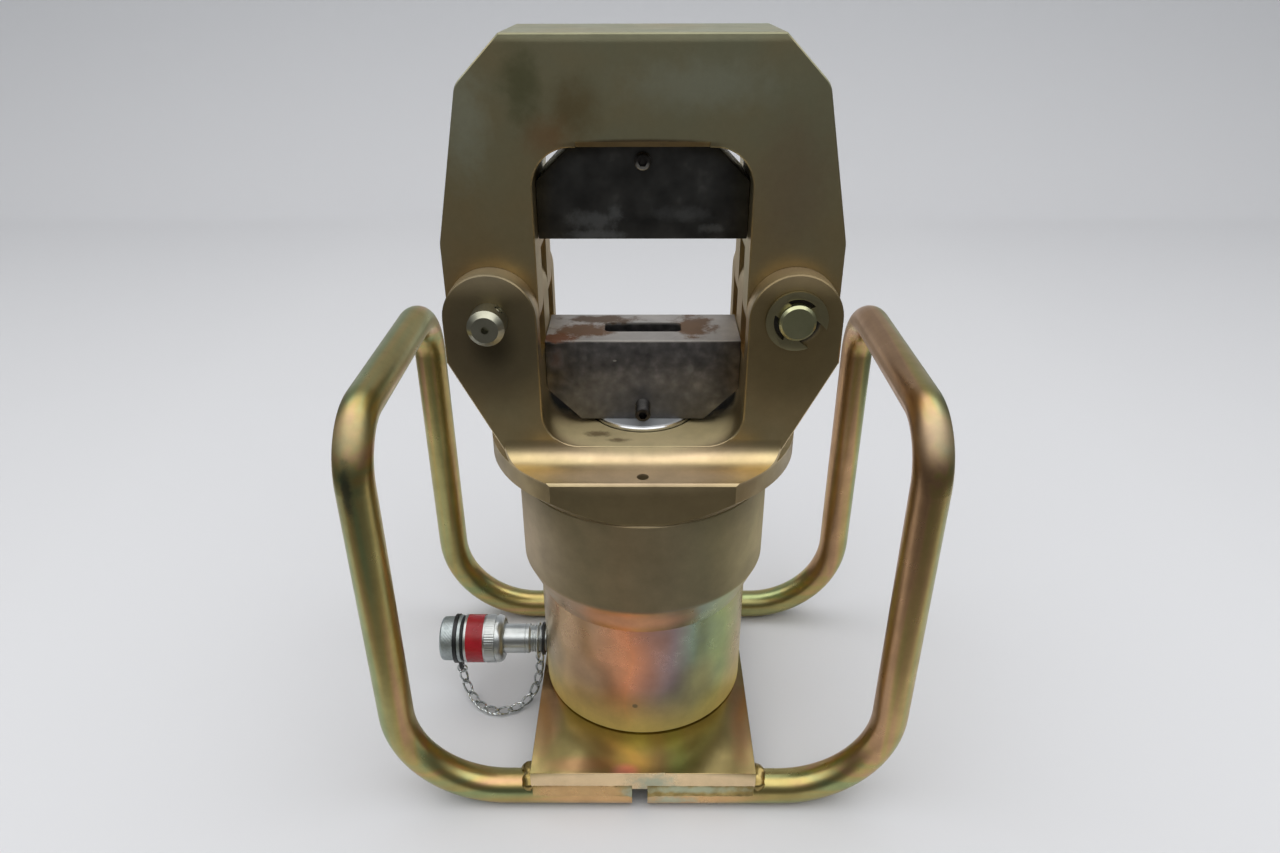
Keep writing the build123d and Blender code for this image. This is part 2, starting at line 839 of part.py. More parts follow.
def make_poppet_spring():
    nose_end = coupler_stations()[2]
    start = nose_end - poppet_length - poppet_spring_length
    mean = poppet_diameter - 2 * poppet_spring_wire
    spring = coil(poppet_spring_wire, mean, poppet_spring_length, poppet_spring_turns)
    return Pos(-lower_radius - start, 0, port_z) * Rot(0, -90, 0) * spring


def cap_start():
    return coupler_stations()[1] + 2 * collar_gap


def make_gasket():
    start = cap_start()
    inner = coupler_nose_diameter / 2 + collar_gap
    outer = gasket_diameter / 2
    bulge = gasket_height / 4
    end = start + gasket_height
    return turned_on_port([
        (start, inner),
        (start, outer - bulge),
        (start + bulge, outer),
        (end - bulge, outer),
        (end, outer - bulge),
        (end, inner),
    ])


def cap_stations():
    """Distances to the cap's flange, groove, grip and closed end."""
    flange = cap_start() + gasket_height
    groove = flange + cap_flange_height
    grip = groove + cap_groove_width
    return flange, groove, grip, grip + cap_end_length


def make_dust_cap():
    flange, groove, grip, end = cap_stations()
    inner = coupler_nose_diameter / 2 + collar_gap
    outer = cap_diameter / 2
    floor = end - cap_end_wall
    groove_radius = outer - cap_groove_depth
    return turned_on_port([
        (flange, inner),
        (flange, cap_flange_diameter / 2),
        (groove, cap_flange_diameter / 2),
        (groove, groove_radius),
        (grip, groove_radius),
        (grip, outer),
        (end - cap_chamfer, outer),
        (end, outer - cap_chamfer),
        (end, 0),
        (floor, 0),
        (floor, inner),
    ])


def make_cap_ring():
    """The swivel ring in the cap's groove, with a tab and an eye for the chain."""
    groove, grip = cap_stations()[1:3]
    inner = cap_diameter / 2 - cap_groove_depth + collar_gap
    outer = cap_ring_diameter / 2
    start = groove + hair_gap
    stop = grip - hair_gap
    hoop = turned_on_port([(start, inner), (start, outer), (stop, outer), (stop, inner)])
    tab_x = -lower_radius - (start + stop) / 2
    tab_end = port_z - outer - cap_ring_reach
    plane = Plane.YZ.offset(tab_x)
    outline = Pos(0, (tab_end + port_z - inner) / 2) * Rectangle(cap_ring_tab, port_z - inner - tab_end)
    outline = outline + Pos(0, tab_end) * Circle(cap_ring_tab / 2)
    tab = extrude(plane * outline, amount=(stop - start) / 2, both=True)
    tab = tab - Pos(-lower_radius, 0, port_z) * Rot(0, 90, 0) * Cylinder(inner, 8 * cap_diameter)
    eye = Pos(tab_x, 0, tab_end) * Rot(0, 90, 0) * Cylinder(cap_ring_eye / 2, 2 * cap_ring_tab)
    return hoop + tab - eye


# Chain between the cap ring and the nipple

def ring_of_wire(centre, radius, normal):
    """A closed ring of wire at one end of the chain."""
    return Plane(origin=centre, z_dir=normal) * Torus(radius, chain_ring_wire / 2)


def split_ring_centre():
    """The split ring hangs in the eye of the cap ring's tab."""
    groove, grip = cap_stations()[1:3]
    x = -lower_radius - (groove + grip) / 2
    eye_z = port_z - cap_ring_diameter / 2 - cap_ring_reach
    return Vector(x, 0, eye_z - split_ring_radius)


def anchor_ring_place():
    """The anchor ring hangs on the nipple's thread: its centre and its radius."""
    radius = port_thread_diameter / 2 + anchor_ring_slack + chain_ring_wire / 2
    centre = Vector(-lower_radius - anchor_ring_offset, 0, port_z - anchor_ring_slack + hair_gap)
    return centre, radius


def chain_route():
    """The chain's line: down from the split ring, across the table in a loop, up to the anchor ring."""
    anchor, anchor_radius = anchor_ring_place()
    hang = (chain_ring_wire + chain_play) / 2
    start = split_ring_centre() - Vector(0, 0, split_ring_radius - hang)
    stop = anchor - Vector(0, 0, anchor_radius - hang)
    lie = (chain_link_inside + chain_play) / 2 + chain_wire
    left = start.Z - lie
    right = stop.Z - lie
    steps = [
        (0.012, 0.02, 0.68 * left),
        (0.060, 0.16, 0.29 * left),
        (0.150, 0.46, 0.06 * left),
        (0.277, 0.79, 0),
        (0.432, 0.99, 0),
        (0.606, 0.95, 0),
        (0.751, 0.75, 0),
        (0.860, 0.47, 0.06 * right),
        (0.930, 0.21, 0.20 * right),
        (0.968, 0.06, 0.44 * right),
        (0.990, 0.01, 0.71 * right),
    ]
    points = []
    for along, reach, lift in steps:
        points.append((start.X + along * (stop.X - start.X), -reach * chain_loop_reach, lie + lift))
    return Spline(start, *points, stop)


def make_chain():
    """Oval links, each turned a quarter against the next."""
    route = chain_route()
    pitch = route.length / chain_links
    steps = [i * pitch for i in range(chain_links + 1)]
    joints = [route.position_at(step, position_mode=PositionMode.LENGTH) for step in steps]
    bend = (chain_link_inside + chain_wire) / 2
    straight = pitch + chain_play + chain_wire - 2 * bend
    loop = SlotCenterToCenter(straight, 2 * bend).wire()
    link = sweep(Plane(origin=loop @ 0, z_dir=loop % 0) * Circle(chain_wire / 2), path=loop)
    links = []
    for i in range(chain_links):
        along = (joints[i + 1] - joints[i]).normalized()
        middle = (joints[i + 1] + joints[i]) / 2
        side = Vector(0, 1, 0) - along * along.Y
        roll = 90 * ((i + 1) % 2)
        links.append(Plane(origin=middle, x_dir=along, z_dir=side) * Rot(roll, 0, 0) * link)
    return links


# All pieces, each written to a file of its own name

plate = make_base_plate()
left_handle = make_handle(-1)
right_handle = make_handle(1)
welds = []
for side in (-1, 1):
    for end in (-1, 1):
        welds.append(make_weld(side, end, plate))
        welds.append(make_seam_weld(side, end, plate))
seal, backup, wear = make_piston_rings()
spring = coil(spring_wire, spring_mean_diameter, spring_top - piston_top, spring_turns)
anchor_centre, anchor_radius = anchor_ring_place()

pieces = {
    "base_plate": plate,
    "base_screws": [spot * make_base_screw() for spot in base_screw_places],
    "left_handle": left_handle,
    "right_handle": right_handle,
    "handle_welds": welds,
    "cylinder_body": make_cylinder(),
    "ram": make_ram(),
    "piston_seal": seal,
    "piston_backup_ring": backup,
    "piston_wear_ring": wear,
    "return_spring": Pos(0, 0, piston_top) * spring,
    "head_frame": make_head_frame(),
    "ram_guide_bush": make_guide_bush(),
    "ram_wiper": make_wiper(),
    "frame_lock_screw": make_lock_screw(),
    "yoke": make_yoke(),
    "hinge_pin": make_hinge_pin(),
    "hinge_pin_rings": [make_retainer(front) for front in retainer_fronts],
    "latch_pin": make_latch_pin(),
    "latch_detent_ball": make_detent_ball(),
    "latch_detent_spring": make_detent_spring(),
    "upper_die": make_die(window_top, -1),
    "upper_die_stud": make_stud(window_top, -1),
    "upper_die_screw": make_set_screw(window_top, -1, upper_screw_stand_out),
    "lower_die": make_die(ram_top, 1),
    "lower_die_stud": make_stud(ram_top, 1),
    "lower_die_screw": make_set_screw(ram_top, 1, lower_screw_stand_out),
    "coupler_nipple": make_nipple(),
    "port_seal": make_port_seal(),
    "coupler_body": make_coupler_body(),
    "coupler_snap_ring": make_snap_ring(),
    "coupler_collar": make_collar(),
    "collar_band": make_band(),
    "coupler_poppet": make_poppet(),
    "poppet_spring": make_poppet_spring(),
    "cap_gasket": make_gasket(),
    "dust_cap": make_dust_cap(),
    "cap_ring": make_cap_ring(),
    "chain_split_ring": ring_of_wire(split_ring_centre(), split_ring_radius, (0, 1, 0)),
    "chain_anchor_ring": ring_of_wire(anchor_centre, anchor_radius, (1, 0, 0)),
    "cap_chain": make_chain(),
}

os.makedirs("parts", exist_ok=True)
for name, piece in pieces.items():
    if isinstance(piece, list):
        piece = Compound(children=piece)
    export_step(piece, f"parts/{name}.step")
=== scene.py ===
import math
from collections import namedtuple

import bmesh
import bpy
from mathutils import Matrix, Vector, noise


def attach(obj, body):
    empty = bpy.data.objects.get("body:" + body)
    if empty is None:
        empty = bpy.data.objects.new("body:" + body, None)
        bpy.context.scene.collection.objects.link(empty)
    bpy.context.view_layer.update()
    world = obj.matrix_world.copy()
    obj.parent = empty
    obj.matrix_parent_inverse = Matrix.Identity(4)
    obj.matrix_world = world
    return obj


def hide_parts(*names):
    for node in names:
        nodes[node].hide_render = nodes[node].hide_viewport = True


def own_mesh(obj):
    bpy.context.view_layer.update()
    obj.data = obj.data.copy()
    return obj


# A hydraulic crimping head on two tube handles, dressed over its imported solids.
# Metres, in the frame of the solids: +Z up, the coupler at -X, the front at -Y.
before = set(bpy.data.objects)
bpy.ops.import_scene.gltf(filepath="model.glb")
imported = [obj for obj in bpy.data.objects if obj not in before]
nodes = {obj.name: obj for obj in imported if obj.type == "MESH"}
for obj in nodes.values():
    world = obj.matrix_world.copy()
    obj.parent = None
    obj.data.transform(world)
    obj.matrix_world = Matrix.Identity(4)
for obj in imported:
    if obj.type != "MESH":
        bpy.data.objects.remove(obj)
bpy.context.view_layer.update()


# Carrying handles: two drawn steel tubes, each bent into a hoop whose ends lie under the base plate.
# They were yellow zinc plated after welding. The film drained along the tubes, so it shows long streaks
# of olive, green and rose, and it has a dark streak below the front bend of the left one.

mm = 0.001
Surface = namedtuple("Surface", "material tree shader place")

# A mark is an oval place on a surface with a colour of its own, its centre and half sizes in mm. soft and
# ragged tell of its edge, strength how far it covers, and one less metallic than the surface is rough too.
Mark = namedtuple("Mark", "centre size colour soft ragged strength metal", defaults=(0.8, 0.0, 0.9, 1.0))


def linear(code):
    """A colour written as sRGB hex, turned to linear light."""
    parts = [int(code[i:i + 2], 16) / 255 for i in (1, 3, 5)]
    return tuple(((c + 0.055) / 1.055) ** 2.4 if c > 0.04045 else c / 12.92 for c in parts) + (1.0,)


def add(tree, kind, sockets=None, stops=None, **settings):
    """Adds a node, sets it, and gives each named socket a value or a link."""
    made = tree.nodes.new(kind)
    for key, value in settings.items():
        setattr(made, key, value)
    for key, value in (sockets or {}).items():
        if isinstance(value, bpy.types.NodeSocket):
            tree.links.new(value, made.inputs[key])
        else:
            made.inputs[key].default_value = value
    if stops:
        ramp = made.color_ramp.elements
        while len(ramp) < len(stops):
            ramp.new(0.5)
        for element, (place, code) in zip(ramp, stops):
            element.position = place
            element.color = linear(code)
    return made


def new_surface(name):
    """An empty material with its shader, and the object's own coordinates to draw patterns on."""
    material = bpy.data.materials.new(name)
    material.use_nodes = True
    tree = material.node_tree
    place = tree.nodes.new("ShaderNodeTexCoord").outputs["Object"]
    return Surface(material, tree, tree.nodes["Principled BSDF"], place)


def coat(surface, colours, wander_mm, roughness, grain_mm, grain_depth_mm, film=0.5, wander=0.5, metallic=1.0,
         marks=()):
    """Finishes a surface. film says where it lies in the row of colours, as a number or a socket, and wander
    how far it drifts over clouds of wander_mm. grain_mm is the spacing of the tool marks along X, Y and Z.
    Smears of handling make it a little duller and rougher in places."""
    smear_mm, speckle_mm = 17, 7
    smear_rougher, smear_smoother, smear_dull = 0.06, 0.03, 0.78
    mark_roughness, grain_strength = 0.6, 0.35
    most_of_it = {"From Min": 0.3, "From Max": 0.7}     # where most of a noise lies
    material, tree, shader, place = surface
    clouds = add(tree, "ShaderNodeTexNoise", {"Vector": place, "Scale": 1000 / wander_mm, "Detail": 2.5,
                                              "Roughness": 0.45}).outputs["Fac"]
    drift = add(tree, "ShaderNodeMath", {0: clouds, 1: 2 * wander, 2: -wander},
                operation="MULTIPLY_ADD").outputs[0]
    depth = add(tree, "ShaderNodeMath", {0: drift, 1: film}, operation="ADD").outputs[0]
    colour = add(tree, "ShaderNodeValToRGB", {"Fac": depth}, stops=colours).outputs["Color"]
    smear = add(tree, "ShaderNodeTexNoise", {"Vector": place, "Scale": 1000 / smear_mm, "Detail": 6.0,
                                             "Roughness": 0.62}).outputs["Fac"]
    rough = add(tree, "ShaderNodeMapRange", {"Value": smear, **most_of_it,
                                             "To Min": roughness + smear_rougher,
                                             "To Max": roughness - smear_smoother}).outputs[0]
    shine = metallic
    if any(mark.ragged for mark in marks):
        speckle = add(tree, "ShaderNodeTexNoise", {"Vector": place, "Scale": 1000 / speckle_mm, "Detail": 6.0,
                                                   "Roughness": 0.65}).outputs["Fac"]
    for mark in marks:
        away = add(tree, "ShaderNodeVectorMath", {0: place, 1: [c * mm for c in mark.centre]},
                   operation="SUBTRACT").outputs[0]
        oval = add(tree, "ShaderNodeVectorMath", {0: away, 1: [1 / (r * mm) for r in mark.size]},
                   operation="MULTIPLY").outputs[0]
        edge = add(tree, "ShaderNodeVectorMath", {0: oval}, operation="LENGTH").outputs["Value"]
        if mark.ragged:
            torn = add(tree, "ShaderNodeMath", {0: speckle, 1: 2 * mark.ragged, 2: -mark.ragged},
                       operation="MULTIPLY_ADD").outputs[0]
            edge = add(tree, "ShaderNodeMath", {0: edge, 1: torn}, operation="ADD").outputs[0]
        cover = add(tree, "ShaderNodeMapRange", {"Value": edge, "From Min": 1 - mark.soft,
                                                 "To Min": mark.strength, "To Max": 0.0},
                    interpolation_type="SMOOTHSTEP").outputs[0]
        colour = add(tree, "ShaderNodeMix", {0: cover, 6: colour, 7: linear(mark.colour)},
                     data_type="RGBA").outputs[2]
        if mark.metal < metallic:
            rough = add(tree, "ShaderNodeMix", {0: cover, 2: rough, 3: mark_roughness}).outputs[0]
            shine = add(tree, "ShaderNodeMix", {0: cover, 2: shine, 3: mark.metal}).outputs[0]
    dull = add(tree, "ShaderNodeMapRange", {"Value": smear, **most_of_it, "To Min": smear_dull}).outputs[0]
    colour = add(tree, "ShaderNodeMix", {0: 1.0, 6: colour, 7: dull}, data_type="RGBA",
                 blend_type="MULTIPLY").outputs[2]
    spaced = add(tree, "ShaderNodeVectorMath", {0: place, 1: [1000 / step for step in grain_mm]},
                 operation="MULTIPLY").outputs[0]
    grain = add(tree, "ShaderNodeTexNoise", {"Vector": spaced, "Scale": 1.0, "Detail": 3.0}).outputs["Fac"]
    relief = add(tree, "ShaderNodeBump", {"Height": grain, "Strength": grain_strength,
                                          "Distance": grain_depth_mm * mm}).outputs["Normal"]
    tree.links.new(colour, shader.inputs["Base Color"])
    tree.links.new(rough, shader.inputs["Roughness"])
    tree.links.new(relief, shader.inputs["Normal"])
    if isinstance(shine, float):
        shader.inputs["Metallic"].default_value = shine
    else:
        tree.links.new(shine, shader.inputs["Metallic"])
    return material


def dress(material, *names):
    """Gives solids of the frame a material."""
    for name in names:
        nodes[name].data.materials.clear()
        nodes[name].data.materials.append(material)


# Satin plating, streaked along the tube. The film goes from green over olive and gold to a rose tan as it
# thickens: thin and olive on the left hoop, green outside and rose inside on the right one.
tube_film = [(0.00, "#A3AC78"), (0.22, "#B2AC74"), (0.45, "#BEAB6C"), (0.62, "#C6A872"), (0.80, "#C9A278"),
             (1.00, "#BE9873")]
leg_top, bar_bottom, leg_bottom, foot_top = 0.200, 0.232, 0.060, 0.018
left_outside, right_inside, green_from, green_to = -0.145, 0.13, 0.129, 0.145
left_film, right_film, green_thinner, foot_film, streak_strength = -0.66, -0.05, 0.8, -0.7, 2.0
drawn_tube = new_surface("yellow_zinc_on_drawn_tube")
tree, place = drawn_tube.tree, drawn_tube.place
streaks = []
for streak_mm in ((6.5, 6.5, 200), (6.5, 170, 6.5), (170, 6.5, 6.5)):      # along Z, Y and X
    spaced = add(tree, "ShaderNodeVectorMath", {0: place, 1: [1000 / step for step in streak_mm]},
                 operation="MULTIPLY").outputs[0]
    streaks.append(add(tree, "ShaderNodeTexNoise", {"Vector": spaced, "Scale": 1.0,
                                                    "Detail": 1.5}).outputs["Fac"])
on_leg, on_bar, on_foot = streaks
spread = add(tree, "ShaderNodeSeparateXYZ", {"Vector": place}).outputs
bar = add(tree, "ShaderNodeMapRange", {"Value": spread["Z"], "From Min": leg_top, "From Max": bar_bottom},
          interpolation_type="SMOOTHSTEP").outputs["Result"]
foot = add(tree, "ShaderNodeMapRange", {"Value": spread["Z"], "From Min": leg_bottom, "From Max": foot_top},
           interpolation_type="SMOOTHSTEP").outputs["Result"]
streak = add(tree, "ShaderNodeMix", {0: bar, 2: on_leg, 3: on_bar}).outputs[0]
streak = add(tree, "ShaderNodeMix", {0: foot, 2: streak, 3: on_foot}).outputs[0]
across = add(tree, "ShaderNodeMapRange", {"Value": spread["X"], "From Min": left_outside,
                                          "From Max": right_inside, "To Min": left_film,
                                          "To Max": right_film}).outputs[0]
green = add(tree, "ShaderNodeMapRange", {"Value": spread["X"], "From Min": green_from, "From Max": green_to,
                                         "To Max": green_thinner}).outputs[0]
base = add(tree, "ShaderNodeMath", {0: across, 1: green}, operation="SUBTRACT").outputs[0]
base = add(tree, "ShaderNodeMix", {0: foot, 2: base, 3: foot_film}).outputs[0]
film = add(tree, "ShaderNodeMath", {0: streak, 1: streak_strength, 2: base},
           operation="MULTIPLY_ADD").outputs[0]
coat(drawn_tube, tube_film, film=film, wander=0.12, wander_mm=40, roughness=0.29,
     grain_mm=(0.6, 0.6, 9.0), grain_depth_mm=0.03, marks=[
         # tan on the front of the feet, two dull front bends, the dark streak below the left one, a bloom of
         # salts
         Mark((0, -92, 9), (74, 5, 16), "#E6BB86", soft=0.4),
         Mark((-137, -76, 236), (15, 22, 20), "#BCA880", strength=0.8, metal=0.7),
         Mark((137, -76, 236), (15, 22, 20), "#C4B092", strength=0.8, metal=0.7),
         Mark((-136.5, -90, 214), (3.8, 10, 21), "#666B58", ragged=0.7, strength=0.85),
         Mark((16, -92, 8), (22, 4, 7), "#C3C6AA", ragged=0.8, metal=0.4)])
dress(drawn_tube.material, "left_handle", "right_handle")


# Base plate: hot rolled flat bar, sawn to length, its edges broken with a file, let into flats on the tubes.
# Plated with the handles: yellow in the middle, green beside it, rose along the sides, with a pale bloom of
# chromate salts where the bath drained from the joint between the two tubes.

def finish_piece(name, shape, material, slot, body, *solids):
    """Makes a piece of a bmesh, shaded smooth between its sharp edges, on its body in place of its solids."""
    for face in shape.faces:
        face.smooth = True
    for edge in shape.edges:
        edge.smooth = len(edge.link_faces) == 2 and edge.calc_face_angle() < math.radians(32)
    mesh = bpy.data.meshes.new(name)
    shape.to_mesh(mesh)
    shape.free()
    mesh.materials.append(material)
    piece = bpy.data.objects.new(name, mesh)
    bpy.context.scene.collection.objects.link(piece)
    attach(piece, body)
    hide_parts(*solids)
    return piece


def copy_of(solid):
    """The mesh of a solid as a shape of its own, joined up and with its flat faces in one piece each."""
    shape = bmesh.new()
    shape.from_mesh(nodes[solid].data)
    bmesh.ops.remove_doubles(shape, verts=shape.verts[:], dist=1e-6)
    bmesh.ops.dissolve_limit(shape, angle_limit=math.radians(1), verts=shape.verts[:], edges=shape.edges[:])
    return shape


def break_edges(shape, width, shortest, keep):
    """Takes off the sharp edges that are long enough, where keep says so of an edge's middle."""
    sharp = [e for e in shape.edges if len(e.link_faces) == 2 and e.calc_face_angle() > math.radians(30)
             and e.calc_length() > shortest and keep((e.verts[0].co + e.verts[1].co) / 2)]
    bmesh.ops.bevel(shape, geom=sharp, offset=width, offset_type="OFFSET", segments=2, profile=0.5,
                    affect="EDGES", clamp_overlap=True, material=-1)


# The smoothest of the plated pieces, in soft clouds of brown and olive with faint lines from the rolls.
rolled_plate = coat(
    new_surface("yellow_zinc_on_rolled_plate"), [(0.0, "#857A52"), (0.5, "#988A5A"), (1.0, "#A89B62")],
    wander=0.45, wander_mm=26, roughness=0.2, grain_mm=(18.0, 1.2, 1.2), grain_depth_mm=0.03, marks=[
        # the top: yellow in the middle, green beside it, brown in the front corners
        Mark((-4, -78, 29), (17, 24, 8), "#BCC478", soft=0.9),
        Mark((18, -74, 29), (10, 30, 8), "#9A9C58", strength=0.7),
        Mark((-36, -84, 29), (26, 9, 8), "#AE8660", strength=0.8),
        Mark((48, -76, 29), (22, 40, 8), "#84764E", strength=0.8),
        # rose along both sides and at the front edge
        Mark((-58, -34, 29), (14, 62, 8), "#BE906C", ragged=0.3, strength=0.75),
        Mark((58, -46, 29), (10, 60, 8), "#A8805F", ragged=0.3, strength=0.7),
        Mark((-10, -88, 29), (11, 7, 8), "#D6A494"),
        # the front face is pale, with a bloom of salts
        Mark((0, -91, 20), (110, 2.5, 14), "#F6DAAE", soft=0.3, strength=1.0),
        Mark((6, -91, 22), (17, 4, 9), "#C6CBB0", ragged=0.9, metal=0.4)])
plate = copy_of("base_plate")
break_edges(plate, width=0.5 * mm, shortest=4 * mm,
            keep=lambda middle: abs(middle.x) > 60 * mm or abs(middle.y) > 85 * mm)
finish_piece("plate", plate, rolled_plate, "zinc_yellow", "frame", "base_plate")


# Weld beads: arc-welded runs over the tubes at the plate's edges and along the groove under the plate.
# Laid in overlapping puddles and plated over, so they are rippled, with bright crowns and dull hollows.

def joined_to(first):
    """The vertices that edges join to a first one, itself among them, in the order they are reached."""
    known, waiting, reached = {first}, [first], []
    while waiting:
        vert = waiting.pop()
        reached.append(vert)
        for other in (edge.other_vert(vert) for edge in vert.link_edges):
            if other not in known:
                known.add(other)
                waiting.append(other)
    return reached


def draw_out(shape, row, step):
    """Extrudes a row of edges by a step. Gives the new row and its vertices."""
    grown = bmesh.ops.extrude_edge_only(shape, edges=row)["geom"]
    fresh = [g for g in grown if isinstance(g, bmesh.types.BMVert)]
    bmesh.ops.translate(shape, vec=step, verts=fresh)
    return [g for g in grown if isinstance(g, bmesh.types.BMEdge) and all(v in fresh for v in g.verts)], fresh


# Plated like the tubes but uneven: light and dark gold change within a few mm, as the puddles do.
weld_metal = coat(
    new_surface("yellow_zinc_on_weld"), [(0.0, "#77693F"), (0.5, "#A8925A"), (1.0, "#DCC88A")],
    wander=0.7, wander_mm=8, roughness=0.27, grain_mm=(1.2, 1.2, 1.2), grain_depth_mm=0.1, marks=[
        # tan on the front seam's left half, and bloom at its gap and along its right half
        Mark((-36, -91, 15), (32, 6, 9), "#E6BB86", soft=0.4, strength=0.8),
        Mark((-5, -91, 15), (9, 4, 8), "#C3C8AC", ragged=0.8, metal=0.4),
        Mark((30, -91, 17), (38, 4, 3.5), "#C0C6A6", ragged=0.8, metal=0.4)])
tube_radius, leg_spread, plate_half = 9.5 * mm, 81.5 * mm, 63.5 * mm
bead_radius, bead_arc, puddle = 3.0 * mm, math.radians(112), 4.2 * mm
bead_swell, bead_ripple, bead_lumps, bead_lumps_per_m = 1.1, 0.05, 0.55, 190
bead_widening, bead_blunt_end = 1.4, 0.12
welds = bmesh.new()
for side in (-1, 1):
    for end in (-1, 1):
        centre = Vector((side * (plate_half + bead_radius / 2), end * leg_spread, tube_radius))
        start = Matrix.Rotation((math.pi - bead_arc) / 2, 4, "X") @ Matrix.Translation((0, tube_radius, 0))
        ring = bmesh.ops.create_circle(welds, segments=16, radius=bead_radius,
                                       matrix=Matrix.Translation(centre) @ start)["verts"]
        loop = list(dict.fromkeys(edge for vert in ring for edge in vert.link_edges))
        bmesh.ops.spin(welds, geom=ring + loop, cent=centre, axis=(1, 0, 0), angle=bead_arc, steps=40)
        bead = joined_to(ring[0])
        for vert in bead:
            turn = math.atan2(vert.co.z - centre.z, vert.co.y - centre.y)
            crown = centre + tube_radius * Vector((0, math.cos(turn), math.sin(turn)))
            along = (turn - math.pi / 2) / (bead_arc / 2)
            swell = bead_swell + bead_ripple * math.sin(2 * math.pi * turn * tube_radius / puddle)
            swell += bead_lumps * noise.noise(vert.co * bead_lumps_per_m)
            vert.co = crown + (vert.co - crown) * swell * math.sqrt(max(bead_blunt_end, 1 - along ** 4))
            vert.co.x = crown.x + bead_widening * (vert.co.x - crown.x)
        open_edges = dict.fromkeys(edge for vert in bead for edge in vert.link_edges if edge.is_boundary)
        bmesh.ops.holes_fill(welds, edges=list(open_edges), sides=20)
# A seam's section, as y and z in mm, is drawn along X on both sides of the gap in the middle.
seam_line = [(88.2, 11.0), (90.6, 11.0), (90.85, 12.4), (90.9, 14.0), (90.8, 15.6), (90.55, 17.0),
             (90.2, 18.6), (89.8, 19.6), (88.2, 17.0)]
seam_half, seam_face, seam_steps = 62.5 * mm, 90 * mm, 72
seam_ripple, seam_waves, seam_waves_per_m = 0.04 * mm, 0.15 * mm, 200
gap_left, gap_right, gap_fade = -6.2 * mm, 2.6 * mm, 4 * mm
gap_rise, gap_lumps, gap_lumps_per_m = 0.2 * mm, 0.5 * mm, 330
for start, stop in ((-seam_half, gap_left), (gap_right, seam_half)):
    for end in (-1, 1):
        ring = [welds.verts.new((start, end * y * mm, z * mm)) for y, z in seam_line]
        first_row = [welds.edges.new((ring[i - 1], ring[i])) for i in range(len(ring))]
        row, seam = first_row, list(ring)
        for step in range(seam_steps):
            row, fresh = draw_out(welds, row, ((stop - start) / seam_steps, 0, 0))
            seam += fresh
        bmesh.ops.holes_fill(welds, edges=first_row + row, sides=12)
        for vert in seam:
            if abs(vert.co.y) > seam_face:
                near_gap = min(abs(vert.co.x - gap_left), abs(vert.co.x - gap_right))
                lift = seam_ripple * math.sin(2 * math.pi * vert.co.x / puddle)
                lift += seam_waves * noise.noise(vert.co * seam_waves_per_m)
                lump = gap_rise + gap_lumps * noise.noise(vert.co * gap_lumps_per_m)
                vert.co.y += end * (lift + math.exp(-near_gap / gap_fade) * lump)
bmesh.ops.recalc_face_normals(welds, faces=welds.faces[:])
finish_piece("weld_beads", welds, weld_metal, "weld_metal", "frame", "handle_welds")


# Base screws: socket head cap screws up through the plate into the cylinder's floor, and the lock screw.
# Alloy steel with a black oxide finish, which is matt and slightly oily to the eye.
black_oxide = coat(
    new_surface("black_oxide_on_steel"), [(0.2, "#3A3938"), (0.8, "#625F5C")], wander_mm=3,
    roughness=0.33, grain_mm=(0.5, 0.5, 0.5), grain_depth_mm=0.02, marks=[
        # a painted highlight on the lower rim of the upper die's set screw
        Mark((0, -23, 347.6), (5, 1.6, 3.2), "#D4D2CC", soft=0.5, ragged=0.2)])
dress(black_oxide, "base_screws", "frame_lock_screw")


# Cylinder: turned from forged bar, narrow below and wide above with a short cone between.
# The lathe left fine rings. The film is a dull khaki above, its real tint darkened by painted shade, with
# painted reflections lighting its sides; below it runs round the body from tan through orange, rose, grey and
# green, and its foot is painted gold, a painted reflection of the plate, with a painted highlight on the
# cone.
body_film = [(0.02, "#BFAF8E"), (0.12, "#C9A87E"), (0.23, "#C49E7C"), (0.33, "#CE9670"), (0.42, "#EA9C70"),
             (0.52, "#BE8C78"), (0.62, "#A08B8A"), (0.73, "#94A592"), (0.86, "#ACBA7A"), (0.97, "#BFA86C")]
body_half = 0.061
turned_body = new_surface("yellow_zinc_on_turned_body")
tree, place = turned_body.tree, turned_body.place
across = add(tree, "ShaderNodeSeparateXYZ", {"Vector": place}).outputs["X"]
around = add(tree, "ShaderNodeMapRange", {"Value": across, "From Min": -body_half,
                                          "From Max": body_half}).outputs["Result"]
coat(turned_body, body_film, film=around, wander=0.1, wander_mm=34, roughness=0.27,
     grain_mm=(60.0, 60.0, 0.5), grain_depth_mm=0.02, metallic=0.8, marks=[
         # olive and tan on the flanks above the foot, a painted gold reflection of the plate at the foot, a
         # painted rose highlight on the cone
         Mark((33, -52, 64), (18, 20, 22), "#B4AE78", soft=0.9, strength=0.85, metal=0.35),
         Mark((-32, -52, 64), (18, 20, 22), "#BC9C7C", soft=0.9, strength=0.85, metal=0.35),
         Mark((0, 0, 20), (400, 400, 48), "#F0D67C", soft=0.9, strength=0.94, metal=0.15),
         Mark((-8, -66, 116), (44, 26, 11), "#E2A884", strength=0.8, metal=0.55),
         # khaki on the wide part, darkened by painted shade, painted reflections lighter at its sides, and a
         # small dark spot low on the front
         Mark((0, 0, 170), (900, 900, 46.5), "#8E8262", soft=0.1, strength=0.94, metal=0.75),
         Mark((-76, -22, 148), (58, 80, 52), "#D8C4A6", soft=0.9, metal=0.75),
         Mark((76, -22, 148), (54, 80, 52), "#CFC090", soft=0.9, metal=0.75),
         Mark((-4.6, -61, 51), (2.0, 4, 2.0), "#7D7059", soft=0.4, ragged=0.3, strength=0.8)])
dress(turned_body.material, "cylinder_body")


